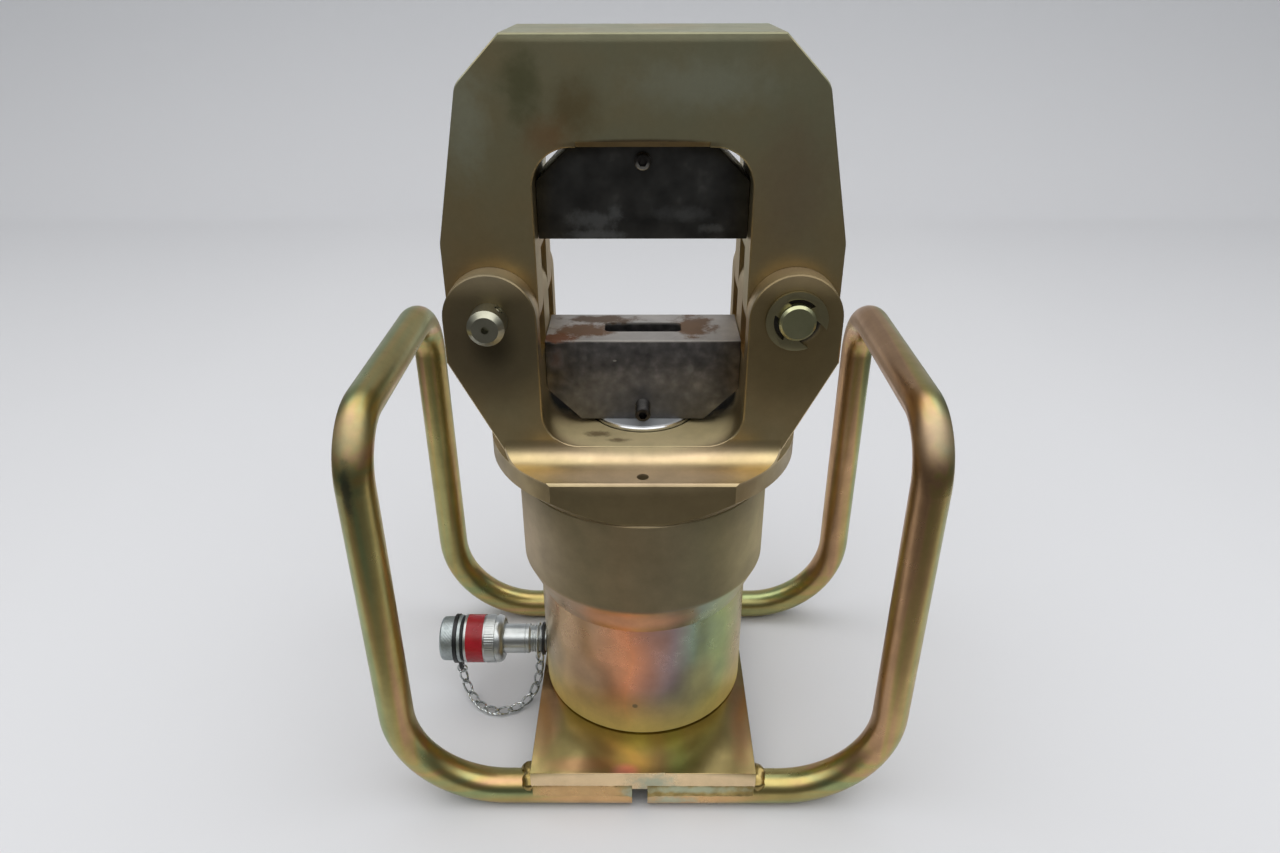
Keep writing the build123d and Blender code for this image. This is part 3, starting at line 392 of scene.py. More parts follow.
# Ram: ground and hard chromed, with its piston in one piece; its bright end shows under the lower die.
# The seals, wear ring, bush, wiper and return spring work inside the cylinder.
# The brightest and smoothest finish here; the ram's rim is frosted by wear.
hard_chrome = coat(
    new_surface("hard_chrome_on_ground_steel"), [(0.0, "#CACBCD"), (1.0, "#E4E5E6")],
    wander_mm=25, roughness=0.12, grain_mm=(40.0, 40.0, 0.4), grain_depth_mm=0.004, marks=[
        Mark((0, 0, 216.2), (60, 60, 1.2), "#C6CACF", soft=0.4, metal=0.35)])
dress(hard_chrome, "ram")
# Nearly black, with the soft sheen of rubber.
seal_rubber = coat(
    new_surface("moulded_nitrile_rubber"), [(0.0, "#101010"), (1.0, "#222221")], wander_mm=4,
    roughness=0.5, grain_mm=(0.4, 0.4, 0.4), grain_depth_mm=0.02, metallic=0.0)
dress(seal_rubber, "piston_seal", "ram_wiper", "port_seal", "cap_gasket")
# Cream plastic with fine turning rings.
ring_plastic = coat(
    new_surface("turned_acetal"), [(0.0, "#C6BCA2"), (1.0, "#DAD2BE")], wander_mm=8,
    roughness=0.4, grain_mm=(20.0, 20.0, 0.4), grain_depth_mm=0.02, metallic=0.0)
dress(ring_plastic, "piston_backup_ring", "piston_wear_ring")
# Warm brown metal with fine turning rings.
bronze = coat(
    new_surface("turned_bronze"), [(0.0, "#B4854A"), (1.0, "#D2A65F")], wander_mm=6,
    roughness=0.3, grain_mm=(20.0, 20.0, 0.4), grain_depth_mm=0.01)
dress(bronze, "ram_guide_bush")
# Dark grey wire with the dull shine that drawing leaves.
spring_wire = coat(
    new_surface("drawn_spring_wire"), [(0.0, "#55565A"), (1.0, "#7C7D7F")], wander_mm=5,
    roughness=0.34, grain_mm=(0.5, 0.5, 0.5), grain_depth_mm=0.02)
dress(spring_wire, "latch_detent_spring")
coil = copy_of("return_spring")
return_coil = finish_piece("return_coil", coil, spring_wire, "spring_steel", "frame", "return_spring")
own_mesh(return_coil)


# Head frame: a forging milled all over, with a window, three ears on each side and a round flange.
# Its faces are flat and satin, tan with a bronze cast; a painted highlight lies in the hollow along the
# ledge, the ledge is painted light and the flange's rim painted darker. The tops of the ears and the window's
# floor are dull, and painted shade darkens it where the dies and pins shade it.
plate_film = [(0.0, "#C4C3A0"), (0.3, "#CDC197"), (0.6, "#CFB98A"), (1.0, "#CDAC82")]
milled_frame = coat(
    new_surface("yellow_zinc_on_milled_frame"), plate_film, film=0.62, wander=0.55, wander_mm=48,
    roughness=0.38, grain_mm=(2.5, 2.5, 0.8), grain_depth_mm=0.035, marks=[
        # painted light along the ledge, a painted highlight in its hollow, and painted shade making the
        # flange's rim browner
        Mark((0, -62, 206), (75, 14, 9), "#ECD4B4", soft=0.7, strength=0.85, metal=0.85),
        Mark((0, -42, 211), (80, 14, 10), "#E8CCAA", soft=0.7, strength=0.7),
        Mark((0, 0, 194), (900, 900, 12.5), "#A3926E", soft=0.15, strength=0.85),
        # dull tops of the ears, their browner fronts, and the shade below the latch pin
        Mark((-73, 0, 318), (60, 200, 30), "#8E8168", soft=0.6, strength=0.95, metal=0.4),
        Mark((73, 0, 318), (60, 200, 30), "#857258", soft=0.6, strength=0.95, metal=0.4),
        Mark((-72, -45, 272), (44, 10, 46), "#8C8166", soft=0.6, strength=0.85),
        Mark((-72, -45, 269), (16, 10, 19), "#4A4434", soft=0.9, strength=0.72),
        Mark((72, -45, 272), (44, 10, 46), "#A08E66", soft=0.6, strength=0.8),
        # the window's pale floor with two brown stains, and the shade under the lower die
        Mark((0, -30, 216), (58, 24, 14), "#DCCB9C", soft=0.35, strength=0.85, metal=0.25),
        Mark((-24, -31, 213), (11, 4, 2), "#6F5A3A", ragged=0.9, strength=0.8, metal=0.25),
        Mark((-12, -37, 213), (8, 3, 2), "#6F5A3A", ragged=0.9, strength=0.8, metal=0.25),
        Mark((-46, 5, 222), (17, 24, 16), "#0E0D0A", soft=0.4, ragged=0.2, strength=0.95, metal=0.25),
        Mark((46, 5, 222), (17, 24, 16), "#0E0D0A", soft=0.4, ragged=0.2, strength=0.95, metal=0.25),
        Mark((0, 5, 213), (64, 24, 4), "#0E0D0A", soft=0.25, ragged=0.1, strength=0.95, metal=0.25),
        # the shade that shows in the gap of the hinge pin's ring
        Mark((72.45, -44.5, 281.3), (13, 3, 13), "#0E0C08", soft=0.2, strength=0.95, metal=0.2)])
dress(milled_frame, "head_frame")


# Yoke: thick plate, milled and chamfered at the corners, that closes the frame over the dies.
# Same satin film as the frame but thinner and greener at the top, turning tan down the legs.
yoke_top, yoke_foot, top_film, leg_film = 0.40, 0.27, 0.1, 0.75
milled_yoke = new_surface("yellow_zinc_on_milled_yoke")
tree, place = milled_yoke.tree, milled_yoke.place
height = add(tree, "ShaderNodeSeparateXYZ", {"Vector": place}).outputs["Z"]
film = add(tree, "ShaderNodeMapRange", {"Value": height, "From Min": yoke_top, "From Max": yoke_foot,
                                        "To Min": top_film, "To Max": leg_film}).outputs["Result"]
coat(milled_yoke, plate_film, film=film, wander=0.55, wander_mm=42, roughness=0.36, grain_mm=(2.5, 2.5, 0.8),
     grain_depth_mm=0.035, marks=[
         # duller along the top edge; pale and olive clouds over the front; tan on the right leg
         Mark((0, -34, 405), (200, 8, 5), "#9A987A", soft=0.6, metal=0.5),
         Mark((-78, -33, 368), (15, 9, 36), "#E2E4C6", soft=0.9, ragged=0.5, strength=0.8),
         Mark((-52, -33, 384), (13, 9, 26), "#98976F", soft=0.9, ragged=0.5, strength=0.8),
         Mark((-30, -33, 374), (16, 9, 20), "#AA976C", soft=0.9, ragged=0.5, strength=0.8),
         Mark((24, -33, 384), (50, 9, 16), "#DEE0C4", soft=0.9, ragged=0.5, strength=0.7),
         Mark((68, -33, 340), (26, 9, 46), "#BFA888", soft=0.9, ragged=0.4, strength=0.6),
         Mark((-42, -33, 362), (16, 9, 14), "#C79A6C", soft=0.9, ragged=0.3, strength=0.6),
         # the brownish lip over the upper die
         Mark((0, -30, 359), (42, 12, 3.2), "#7C684C", soft=0.4, ragged=0.1, strength=0.85)])
dress(milled_yoke.material, "yoke")


# Pins: the latch pin on the left draws out to the back, the hinge pin on the right is kept by sprung rings.
# Turned steel: the latch pin has clear zinc, the hinge pin and its rings a thin yellow one.
# Clear zinc looks grey and slightly warm, with rings from the lathe.
clear_zinc = coat(
    new_surface("clear_zinc_on_turned_steel"), [(0.0, "#9E9C88"), (1.0, "#C2C0AE")],
    wander_mm=9, roughness=0.35, grain_mm=(0.5, 20.0, 0.5), grain_depth_mm=0.02)
dress(clear_zinc, "latch_pin", "latch_detent_ball")
# Thin yellow zinc looks pale green on the pin, and more straw-coloured on the rings.
thin_zinc = coat(
    new_surface("thin_yellow_zinc_on_turned_steel"), [(0.0, "#B4B88E"), (1.0, "#D0CFA6")],
    wander_mm=9, roughness=0.3, grain_mm=(0.5, 20.0, 0.5), grain_depth_mm=0.02)
dress(thin_zinc, "hinge_pin")
ring_zinc = coat(
    new_surface("thin_zinc_on_spring_steel"), [(0.0, "#A8A27E"), (1.0, "#C2B890")],
    wander_mm=9, roughness=0.3, grain_mm=(0.6, 0.6, 0.6), grain_depth_mm=0.02)
# The hoop of each ring is drawn a little further out than the solid's, so that the gap inside it shows.
pin_x, pin_height, groove_reach = 72.45 * mm, 281.3 * mm, 9.5 * mm
solid_inside, solid_outside, hoop_inside, hoop_outside = 10.3 * mm, 14.5 * mm, 11.0 * mm, 14.7 * mm
ear_face = 45.5 * mm
rings = copy_of("hinge_pin_rings")
for vert in rings.verts:
    reach = math.hypot(vert.co.x - pin_x, vert.co.z - pin_height)
    if reach > groove_reach:
        share = (reach - solid_inside) / (solid_outside - solid_inside)
        drawn = hoop_inside + share * (hoop_outside - hoop_inside)
        vert.co.x = pin_x + (vert.co.x - pin_x) * drawn / reach
        vert.co.z = pin_height + (vert.co.z - pin_height) * drawn / reach
break_edges(rings, width=0.45 * mm, shortest=0.2 * mm, keep=lambda middle: abs(middle.y) > ear_face)
finish_piece("sprung_rings", rings, ring_zinc, "zinc_bright", "frame", "hinge_pin_rings")


# Die blocks: ground tool steel, worn dark by oil, each on a stud and clamped by a set screw in its front.
# The upper one is nearly black with grey scuffs; the lower one is greyer and finely mottled, bare on its top
# face, with a painted highlight along its top front edge and rust round its pocket.
upper_steel = coat(
    new_surface("oiled_tool_steel"), [(0.1, "#4C4C4B"), (0.6, "#696967"), (1.0, "#A3A29E")],
    film=0.4, wander=0.7, wander_mm=11, roughness=0.38, grain_mm=(6.0, 6.0, 1.0), grain_depth_mm=0.03, marks=[
        # grey scuffs on the front
        Mark((-24, -19, 322), (17, 4, 6), "#C6CACC", ragged=0.9, strength=0.36),
        Mark((-13, -19, 325), (5, 4, 7), "#C4C8C9", ragged=0.9, strength=0.34),
        Mark((-22, -19, 315), (22, 4, 3), "#B8BCC0", ragged=0.9, strength=0.45),
        Mark((19, -19, 325), (19, 4, 5), "#B0B3B4", soft=0.9, ragged=0.9, strength=0.3),
        Mark((32, -19, 318), (9, 4, 3), "#BCC0C0", ragged=0.9, strength=0.34)])
dress(upper_steel, "upper_die_stud", "lower_die_stud")
lower_steel = coat(
    new_surface("worn_tool_steel"), [(0.0, "#6C6A6A"), (0.5, "#8F8C8B"), (1.0, "#B6B2AF")],
    film=0.42, wander=0.8, wander_mm=5, roughness=0.4, grain_mm=(1.5, 1.5, 1.5), grain_depth_mm=0.05, marks=[
        # the bare top, the darker lower front, a painted highlight along the top front edge
        Mark((0, 0, 262), (120, 60, 3), "#DAD4CE", soft=0.5, metal=0.6),
        Mark((0, -19, 224), (74, 4, 27), "#55524E", strength=0.7, metal=0.35),
        Mark((0, -18.8, 260.7), (70, 1.0, 1.0), "#E4DED6", soft=0.5, ragged=0.3),
        # rust round the pocket, and a run of it down the left of the front
        Mark((27, 1, 261), (13, 19, 4), "#7A5836", soft=0.5, ragged=0.9, strength=0.95, metal=0.0),
        Mark((-31, -5, 261), (20, 12, 4), "#765230", soft=0.5, ragged=0.9, strength=0.95, metal=0.0),
        Mark((-44, -15, 261), (11, 7, 3), "#7E4E2E", soft=0.5, ragged=0.9, strength=0.95, metal=0.0),
        Mark((-22, 11, 261), (24, 7, 3), "#6C5238", soft=0.5, ragged=0.9, strength=0.95, metal=0.0),
        Mark((-44, -19, 250), (5, 3, 8), "#5B3F2C", ragged=0.9, strength=0.8, metal=0.3),
        # three small bright knocks in the front
        Mark((24.5, -19, 245), (2.4, 3, 3.4), "#A9A9A4", soft=0.7, ragged=0.3, strength=0.7),
        Mark((-30, -19, 251), (2.0, 3, 2.2), "#A5A5A0", soft=0.7, ragged=0.3, strength=0.6),
        Mark((-14.5, -19, 249.5), (1.2, 3, 0.7), "#E8E6E0", soft=0.5)])
for solid, steel, body in (("upper_die", upper_steel, "frame"), ("lower_die", lower_steel, "ram")):
    block = copy_of(solid)
    break_edges(block, width=0.4 * mm, shortest=4 * mm,
                keep=lambda middle: abs(middle.y) > 15 * mm or abs(middle.x) > 30 * mm)
    finish_piece(solid + "_block", block, steel, "dark_steel", body, solid)


# Set screws: headless, with a hexagon socket, one through the front of each die on to its stud.
# Black oxide steel; the threads that stand out of the dies are rolled, 1.25 mm apart.

def threads(start, stop, pitch, outer, depth):
    """The outline of a thread from start to stop: a row of flat crests and roots."""
    crest, crest_end, root = 0.3 * pitch, 0.5 * pitch, 0.8 * pitch
    outline = []
    for turn in range(int((stop - start) / pitch)):
        foot = start + turn * pitch
        outline += [(foot, outer - depth), (foot + crest, outer), (foot + crest_end, outer),
                    (foot + root, outer - depth)]
    return outline


def turned(outline, start, along, out, steps):
    """A turned shape: its outline of (distance along, radius) is spun round the line from start along."""
    shape = bmesh.new()
    verts = [shape.verts.new(start + along * place + out * radius) for place, radius in outline]
    edges = [shape.edges.new(pair) for pair in zip(verts, verts[1:])]
    bmesh.ops.spin(shape, geom=verts + edges, cent=start, axis=along, angle=2 * math.pi, steps=steps,
                   use_merge=True)
    bmesh.ops.remove_doubles(shape, verts=shape.verts[:], dist=1e-6)
    bmesh.ops.recalc_face_normals(shape, faces=shape.faces[:])
    return shape


screw_radius, socket_half, socket_depth = 3.95 * mm, 2.0 * mm, 4.0 * mm
screw_pitch, screw_thread, screw_start = 1.25 * mm, 0.55 * mm, 0.6 * mm
rim_chamfer, tip_chamfer, near = 0.7 * mm, 1 * mm, 0.01 * mm
for name, rim, tip, height, body in (("lower_die_screw", -30.8, -6.6, 224.0, "ram"),
                                     ("upper_die_screw", -22.8, -6.6, 349.8, "frame")):
    length = (tip - rim) * mm
    outline = [(socket_depth, 0.0), (socket_depth, socket_half), (0.0, socket_half),
               (0.0, screw_radius - rim_chamfer)]
    outline += threads(screw_start, length - tip_chamfer, screw_pitch, screw_radius, screw_thread)
    outline += [(length, screw_radius - tip_chamfer), (length, 0.0)]
    middle = Vector((0, rim * mm, height * mm))
    screw = turned(outline, middle, along=Vector((0, 1, 0)), out=Vector((0, 0, 1)), steps=48)
    # the socket's round hole is pulled out to a hexagon
    for vert in screw.verts:
        away = vert.co - middle
        radius = math.hypot(away.x, away.z)
        if abs(radius - socket_half) < near and away.y < socket_depth + near:
            corner = (math.atan2(away.z, away.x) % (math.pi / 3)) - math.pi / 6
            grow = 1 / math.cos(corner)
            vert.co = middle + Vector((away.x * grow, away.y, away.z * grow))
    finish_piece(name + "_threaded", screw, black_oxide, "black_oxide", body, name)


# Hose coupler: a nipple screwed into the port over a seal, with the coupler's body on its end.
# Turned steel with bright zinc, a clean silver with fine rings. The thread next to the cylinder, 1.4 mm
# apart, is drawn 1.8 mm apart so that it shows.
bright_zinc = coat(
    new_surface("bright_zinc_on_turned_steel"), [(0.0, "#C4C9C8"), (1.0, "#E6E9E8")],
    wander_mm=9, roughness=0.31, grain_mm=(0.5, 12.0, 12.0), grain_depth_mm=0.02)
dress(bright_zinc, "coupler_body", "coupler_snap_ring", "coupler_poppet", "chain_split_ring",
      "chain_anchor_ring")
wall, port_height = -61.25 * mm, 47.8 * mm
port, outwards, upwards = Vector((wall, 0, port_height)), Vector((-1, 0, 0)), Vector((0, 0, 1))
nipple_start, thread_start, thread_end, neck_end = -8.0 * mm, -7.6 * mm, 10.75 * mm, 28.35 * mm
thread_radius, thread_pitch, thread_depth, neck_radius = 8.6 * mm, 1.8 * mm, 0.75 * mm, 9.25 * mm
neck_chamfer, line_depth = 0.4 * mm, 0.3 * mm
line_start, line_floor, line_floor_end, line_end = [thread_end + v * mm for v in (2.2, 2.4, 2.8, 3.0)]
outline = [(nipple_start, 0.0), (nipple_start, thread_radius - 0.8 * mm)]
outline += threads(thread_start, thread_end - 0.3 * mm, thread_pitch, thread_radius, thread_depth)
outline += [(thread_end, thread_radius - 0.45 * mm), (thread_end, neck_radius - neck_chamfer),
            (thread_end + neck_chamfer, neck_radius), (line_start, neck_radius),
            (line_floor, neck_radius - line_depth), (line_floor_end, neck_radius - line_depth),
            (line_end, neck_radius), (neck_end, neck_radius), (neck_end, 0.0)]
nipple = turned(outline, port, outwards, upwards, steps=72)
finish_piece("threaded_nipple", nipple, bright_zinc, "zinc_bright", "frame", "coupler_nipple")
coil = copy_of("poppet_spring")
poppet_coil = finish_piece("poppet_coil", coil, spring_wire, "spring_steel", "frame", "poppet_spring")
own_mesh(poppet_coil)


# Collar: the sleeve that is turned to lock a hose on, with a coloured sleeve round its outer half.
# Bright zinc with a straight knurl behind a grooved, rounded end; the band is glossy red vinyl.
# The knurl, about 0.8 mm apart on such a collar, is drawn 1.6 mm apart so that it shows.

def press_in(shape, depth_at):
    """Presses a knurl into a shape on the coupler's axis. depth_at takes distance along, turns and radius."""
    for vert in shape.verts:
        rise = math.atan2(vert.co.y, vert.co.z - port_height)
        radius = math.hypot(vert.co.y, vert.co.z - port_height)
        depth = depth_at(wall - vert.co.x, rise / (2 * math.pi), radius)
        vert.co.y -= depth * math.sin(rise)
        vert.co.z -= depth * math.cos(rise)


collar_radius, collar_bore, neck_hole, shoulder_start = 15.1 * mm, 11.6 * mm, 9.6 * mm, 11.4 * mm
collar_start, inner_wall, shoulder, knurl_end, band_start, band_end, collar_end = [
    v * mm for v in (26.75, 28.3, 31.2, 38.4, 39.55, 50.15, 51.85)]
groove_floor, groove_floor_end, knurl_from, knurl_ring = [shoulder + v * mm for v in (0.2, 0.9, 1.1, 3.2)]
groove_depth, band_seat, collar_chamfer, shoulder_steps = 0.6 * mm, 0.5 * mm, 0.4 * mm, 8
collar_steps, collar_cut_every, collar_cut = 180, 3, 0.28 * mm
outline = [(inner_wall, collar_bore), (inner_wall, neck_hole), (collar_start, neck_hole),
           (collar_start, shoulder_start)]
for step in range(1, shoulder_steps + 1):
    turn = step / shoulder_steps * math.pi / 2
    outline.append((shoulder - (shoulder - collar_start) * math.cos(turn),
                    shoulder_start + (collar_radius - shoulder_start) * math.sin(turn)))
outline += [(groove_floor, collar_radius - groove_depth), (groove_floor_end, collar_radius - groove_depth),
            (knurl_from, collar_radius), (knurl_ring, collar_radius), (knurl_end, collar_radius),
            (knurl_end + 0.2 * mm, collar_radius - 0.3 * mm), (band_start, collar_radius - band_seat),
            (band_end, collar_radius - band_seat), (band_end, collar_radius),
            (collar_end - collar_chamfer, collar_radius), (collar_end, collar_radius - collar_chamfer),
            (collar_end, collar_bore), (inner_wall, collar_bore)]


def straight_knurl(along, turn, radius):
    """Cuts along the collar between its groove and its band."""
    knurled = knurl_from - near < along < knurl_end + near and radius > collar_radius - near
    return collar_cut if knurled and round(turn * collar_steps) % collar_cut_every == 0 else 0.0


collar = turned(outline, port, outwards, upwards, collar_steps)
press_in(collar, straight_knurl)
finish_piece("knurled_collar", collar, bright_zinc, "zinc_bright", "collar", "coupler_collar")
# Deep red with a sharp gloss.
band_red = coat(
    new_surface("glossy_red_vinyl"), [(0.0, "#9A141B"), (1.0, "#B92430")], wander_mm=7,
    roughness=0.24, grain_mm=(1.2, 1.2, 1.2), grain_depth_mm=0.03, metallic=0.0)
dress(band_red, "collar_band")


# Dust cap: screwed on the coupler's nose against a rubber gasket, with a black nylon ring in its groove.
# Steel with dull zinc, blotched and bluish. The grip's diamond knurl, about 1 mm apart, is drawn twice as
# coarse so that it shows.
dull_zinc = coat(
    new_surface("dull_zinc_on_knurled_steel"), [(0.0, "#A2ACAD"), (1.0, "#CFD7D7")],
    wander=0.7, wander_mm=2.5, roughness=0.42, grain_mm=(0.7, 0.7, 0.7), grain_depth_mm=0.08)
flange_start, groove_start, grip_start, cap_end = [v * mm for v in (53.75, 56.05, 58.35, 66.75)]
flange_radius, groove_radius, grip_radius, cap_bore = [v * mm for v in (14.7, 13.2, 13.8, 10.6)]
cap_floor, flange_chamfer, grip_chamfer = cap_end - 3.2 * mm, 0.3 * mm, 0.4 * mm
cap_steps, knurl_rows, row_step, cap_cut = 160, 14, 0.48 * mm, 0.3 * mm
knurl_start = grip_start + grip_chamfer
outline = [(cap_floor, 0.0), (cap_floor, cap_bore), (flange_start, cap_bore),
           (flange_start, flange_radius - flange_chamfer), (flange_start + flange_chamfer, flange_radius),
           (groove_start - flange_chamfer, flange_radius), (groove_start, flange_radius - flange_chamfer),
           (groove_start, groove_radius), (grip_start, groove_radius),
           (grip_start, grip_radius - grip_chamfer)]
outline += [(knurl_start + row * row_step, grip_radius) for row in range(knurl_rows)]
outline += [(cap_end - 0.8 * mm, grip_radius - 0.2 * mm), (cap_end - 0.2 * mm, grip_radius - 0.7 * mm),
            (cap_end, grip_radius - 1.2 * mm), (cap_end, 0.0)]


def diamond_knurl(along, turn, radius):
    """Cuts in a chequer of two rows by two steps over the grip."""
    row = round((along - knurl_start) / row_step)
    knurled = 0 < row < knurl_rows - 1 and abs(radius - grip_radius) < near
    return cap_cut * ((round(turn * cap_steps) // 2 + row // 2) % 2) if knurled else 0.0


cap = turned(outline, port, outwards, upwards, cap_steps)
press_in(cap, diamond_knurl)
finish_piece("knurled_dust_cap", cap, dull_zinc, "zinc_bright", "cap", "dust_cap")
# Black with a slight gloss, as it came from the mould.
ring_black = coat(
    new_surface("moulded_black_nylon"), [(0.0, "#121314"), (1.0, "#222426")], wander_mm=4,
    roughness=0.36, grain_mm=(0.4, 0.4, 0.4), grain_depth_mm=0.02, metallic=0.0)
dress(ring_black, "cap_ring")


# Chain: twelve welded links between the cap's ring and the nipple, so that the cap isn't lost.
# Wire 1.6 mm thick with bright, smooth zinc; each link is twisted by about a quarter turn, so the chain
# lies flat.
link_zinc = coat(
    new_surface("bright_zinc_on_chain_wire"), [(0.0, "#BDC2C2"), (1.0, "#E6E9E8")],
    wander_mm=5, roughness=0.2, grain_mm=(0.6, 0.6, 0.6), grain_depth_mm=0.02)
link_wire, link_bend, half_twist = 0.8 * mm, 2.1 * mm, math.radians(52)
flat_side = Vector((0, -0.6, 0.8))
# Each solid link gives the middle and the direction of a twisted one.
solid_links = bmesh.new()
solid_links.from_mesh(nodes["cap_chain"].data)
bmesh.ops.remove_doubles(solid_links, verts=solid_links.verts[:], dist=1e-6)
places, found = [], set()
for seed in solid_links.verts:
    if seed in found:
        continue
    island = joined_to(seed)
    found.update(island)
    middle = sum((vert.co for vert in island), Vector()) / len(island)
    tip = max((vert.co - middle for vert in island), key=lambda away: away.length)
    along = tip.normalized() if tip.x > 0 else -tip.normalized()
    facing = (flat_side - along * along.dot(flat_side)).normalized()
    turned_to = Matrix((along, facing.cross(along), facing)).transposed().to_4x4()
    places.append(Matrix.Translation(middle) @ turned_to)
    half_length = tip.length
solid_links.free()
# One link: a wire ring, pulled apart to an oval and twisted. It starts 5 degrees round, so that no circle of
# its wire lies where it is pulled apart.
pull = half_length - link_wire - link_bend
link = bmesh.new()
bmesh.ops.create_circle(link, segments=10, radius=link_wire,
                        matrix=Matrix.Rotation(math.radians(5), 4, "Z")
                        @ Matrix.Translation((0, link_bend, 0)) @ Matrix.Rotation(math.pi / 2, 4, "Y"))
bmesh.ops.spin(link, geom=link.verts[:] + link.edges[:], cent=(0, 0, 0), axis=(0, 0, 1), angle=2 * math.pi,
               steps=36, use_merge=True)
for vert in link.verts:
    vert.co.x += math.copysign(pull, vert.co.x)
sides = [e for e in link.edges if abs(e.verts[0].co.x - e.verts[1].co.x) > pull]
bmesh.ops.subdivide_edges(link, edges=sides, cuts=7, use_grid_fill=True)
for vert in link.verts:
    share = max(-1, min(1, vert.co.x / (pull + 0.5 * link_bend)))
    vert.co = Matrix.Rotation(half_twist * share, 3, "X") @ vert.co
bmesh.ops.recalc_face_normals(link, faces=link.faces[:])
one_link = bpy.data.meshes.new("one_link")
link.to_mesh(one_link)
link.free()
chain = bmesh.new()
for place in places:
    before = len(chain.verts)
    chain.from_mesh(one_link)
    chain.verts.ensure_lookup_table()
    bmesh.ops.transform(chain, matrix=place, verts=chain.verts[before:])
bpy.data.meshes.remove(one_link)
finish_piece("twisted_chain", chain, link_zinc, "zinc_bright", "frame", "cap_chain")


# Floor and backdrop: one pale sheet under the object, bent up behind it.
# Matt and even, a little greyer towards the top.

def stage_piece(name, shape, material):
    """Makes a piece of the stage, not of the object, of a bmesh."""
    mesh = bpy.data.meshes.new(name)
    shape.to_mesh(mesh)
    shape.free()
    mesh.materials.append(material)
    piece = bpy.data.objects.new(name, mesh)
    bpy.context.scene.collection.objects.link(piece)
    return piece


floor_half, floor_front, floor_back, backdrop_height, floor_bend = 3.2, -3.2, 1.7, 2.4, 0.5
paper, tree, shader, place = new_surface("pale_paper")
height = add(tree, "ShaderNodeSeparateXYZ", {"Vector": place}).outputs["Z"]
shade = add(tree, "ShaderNodeValToRGB", {"Fac": height}, stops=[(0.0, "#DEDEE0"), (0.8, "#C4C6C9")])
tree.links.new(shade.outputs["Color"], shader.inputs["Base Color"])
shader.inputs["Roughness"].default_value = 0.8
sheet = bmesh.new()
front_edge = sheet.edges.new([sheet.verts.new((x, floor_front, 0)) for x in (-floor_half, floor_half)])
corner = draw_out(sheet, [front_edge], (0, floor_back - floor_front, 0))[0]
draw_out(sheet, corner, (0, 0, backdrop_height))
bmesh.ops.bevel(sheet, geom=corner, offset=floor_bend, segments=16, profile=0.5, affect="EDGES", material=-1)
for face in sheet.faces:
    face.smooth = True
stage_piece("floor", sheet, paper)


# Dim surround: a frame on the floor round its lit part, with low walls, which only reflections see.
# A glowing card, not a lamp, that shines light grey next to the lit part and darker beyond: a painted
# reflection that gives the plating its dark sides.
lit_half, lit_front, lit_back, reach, off_floor, wall_height = 0.48, -0.175, 0.45, 0.85, 0.001, 0.7
glowing_card, tree, shader, place = new_surface("glowing_grey_card")
shader.inputs["Base Color"].default_value = linear("#000000")
spread = add(tree, "ShaderNodeSeparateXYZ", {"Vector": place}).outputs
sideways = add(tree, "ShaderNodeMath", {0: spread["X"]}, operation="ABSOLUTE").outputs[0]
outside = add(tree, "ShaderNodeMath", {0: sideways, 1: lit_half}, operation="SUBTRACT").outputs[0]
in_front = add(tree, "ShaderNodeMath", {0: lit_front, 1: spread["Y"]}, operation="SUBTRACT").outputs[0]
beyond = add(tree, "ShaderNodeMath", {0: outside, 1: in_front}, operation="MAXIMUM").outputs[0]
dim = add(tree, "ShaderNodeValToRGB", {"Fac": beyond},
          stops=[(0.0, "#A09E9A"), (0.08, "#7E7C79"), (0.30, "#585756")])
# the card glows with this grey, a painted reflection only glossy rays see
tree.links.new(dim.outputs["Color"], shader.inputs["Emission Color"])
shader.inputs["Emission Strength"].default_value = 1.0
shader.inputs["Specular IOR Level"].default_value = 0.0
surround = bmesh.new()
corners = [(lit_half + reach, lit_front - reach), (lit_half + reach, lit_back + reach),
           (-lit_half - reach, lit_back + reach), (-lit_half - reach, lit_front - reach)]
middle = surround.faces.new([surround.verts.new((x, y, off_floor)) for x, y in corners])
surround.normal_update()
bmesh.ops.inset_region(surround, faces=[middle], thickness=reach, use_even_offset=True, use_boundary=True)
bmesh.ops.delete(surround, geom=[middle], context="FACES")
wall_feet = [e for e in surround.edges if e.is_boundary and e.calc_length() > 2 * reach
             and min(v.co.y for v in e.verts) < lit_front]
draw_out(surround, wall_feet, (0, 0, wall_height))
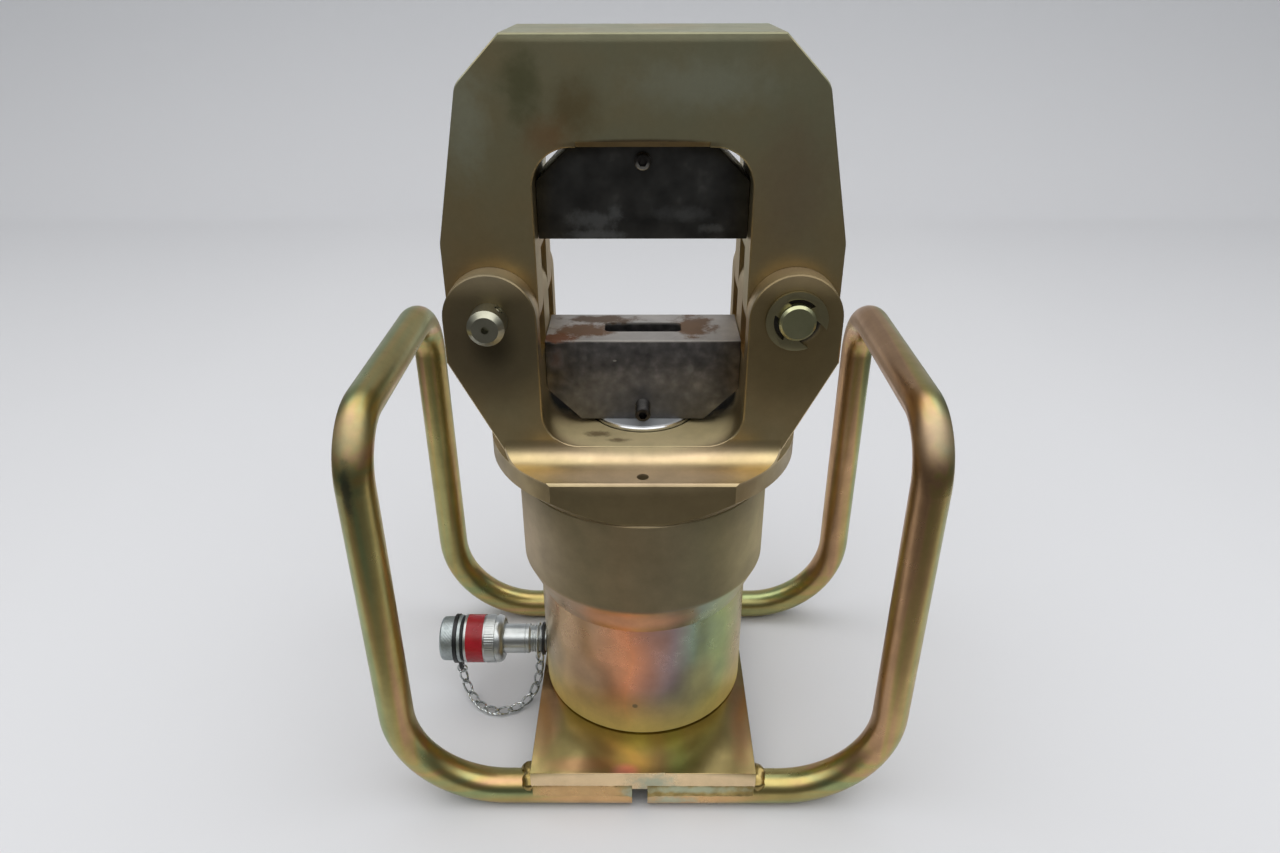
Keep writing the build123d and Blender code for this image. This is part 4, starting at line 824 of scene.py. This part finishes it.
dim_surround = stage_piece("dim_surround", surround, glowing_card)
dim_surround.visible_camera = False
dim_surround.visible_diffuse = False
dim_surround.visible_shadow = False
dim_surround.visible_transmission = False


# Soft studio light: one wide ceiling lamp and a pale surround that is dimmer towards the horizon.
# Both are neutral, so that the plating keeps its own colours.
world = bpy.data.worlds.new("studio")
world.use_nodes = True
bpy.context.scene.world = world
tree = world.node_tree
heading = tree.nodes.new("ShaderNodeTexCoord").outputs["Generated"]
height = add(tree, "ShaderNodeSeparateXYZ", {"Vector": heading}).outputs["Z"]
sky = add(tree, "ShaderNodeValToRGB", {"Fac": height},
          stops=[(0.0, "#8A8B8D"), (0.25, "#A9ABAD"), (0.6, "#D0D2D4")])
tree.links.new(sky.outputs["Color"], tree.nodes["Background"].inputs["Color"])
tree.nodes["Background"].inputs["Strength"].default_value = 0.8
lamp_data = bpy.data.lights.new("ceiling", "AREA")
lamp_data.shape = "RECTANGLE"
lamp_data.size = 3.2
lamp_data.size_y = 2.6
lamp_data.energy = 37
lamp = bpy.data.objects.new("ceiling", lamp_data)
lamp.location = (0.0, -0.4, 1.8)
bpy.context.scene.collection.objects.link(lamp)


# Camera at the photograph's place: it looks down at the front from just above the yoke.
# Its place and lens are solved for that view.
look_down, turn, roll = math.radians(27.86), math.radians(-0.34), math.radians(-0.15)
ahead = Vector((math.sin(turn) * math.cos(look_down), math.cos(turn) * math.cos(look_down),
                -math.sin(look_down)))
right = Vector((math.cos(turn), -math.sin(turn), 0))
up = right.cross(ahead)
right, up = right * math.cos(roll) + up * math.sin(roll), up * math.cos(roll) - right * math.sin(roll)
stand = Matrix.Translation((0.00089, -0.43121, 0.42929))
camera_data = bpy.data.cameras.new("camera")
camera_data.sensor_width = 36.0
camera_data.lens = 24.55
camera = bpy.data.objects.new("camera", camera_data)
camera.matrix_world = stand @ Matrix((right, up, -ahead)).transposed().to_4x4()
bpy.context.scene.collection.objects.link(camera)
bpy.context.scene.camera = camera
bpy.context.scene.view_settings.view_transform = "Standard"
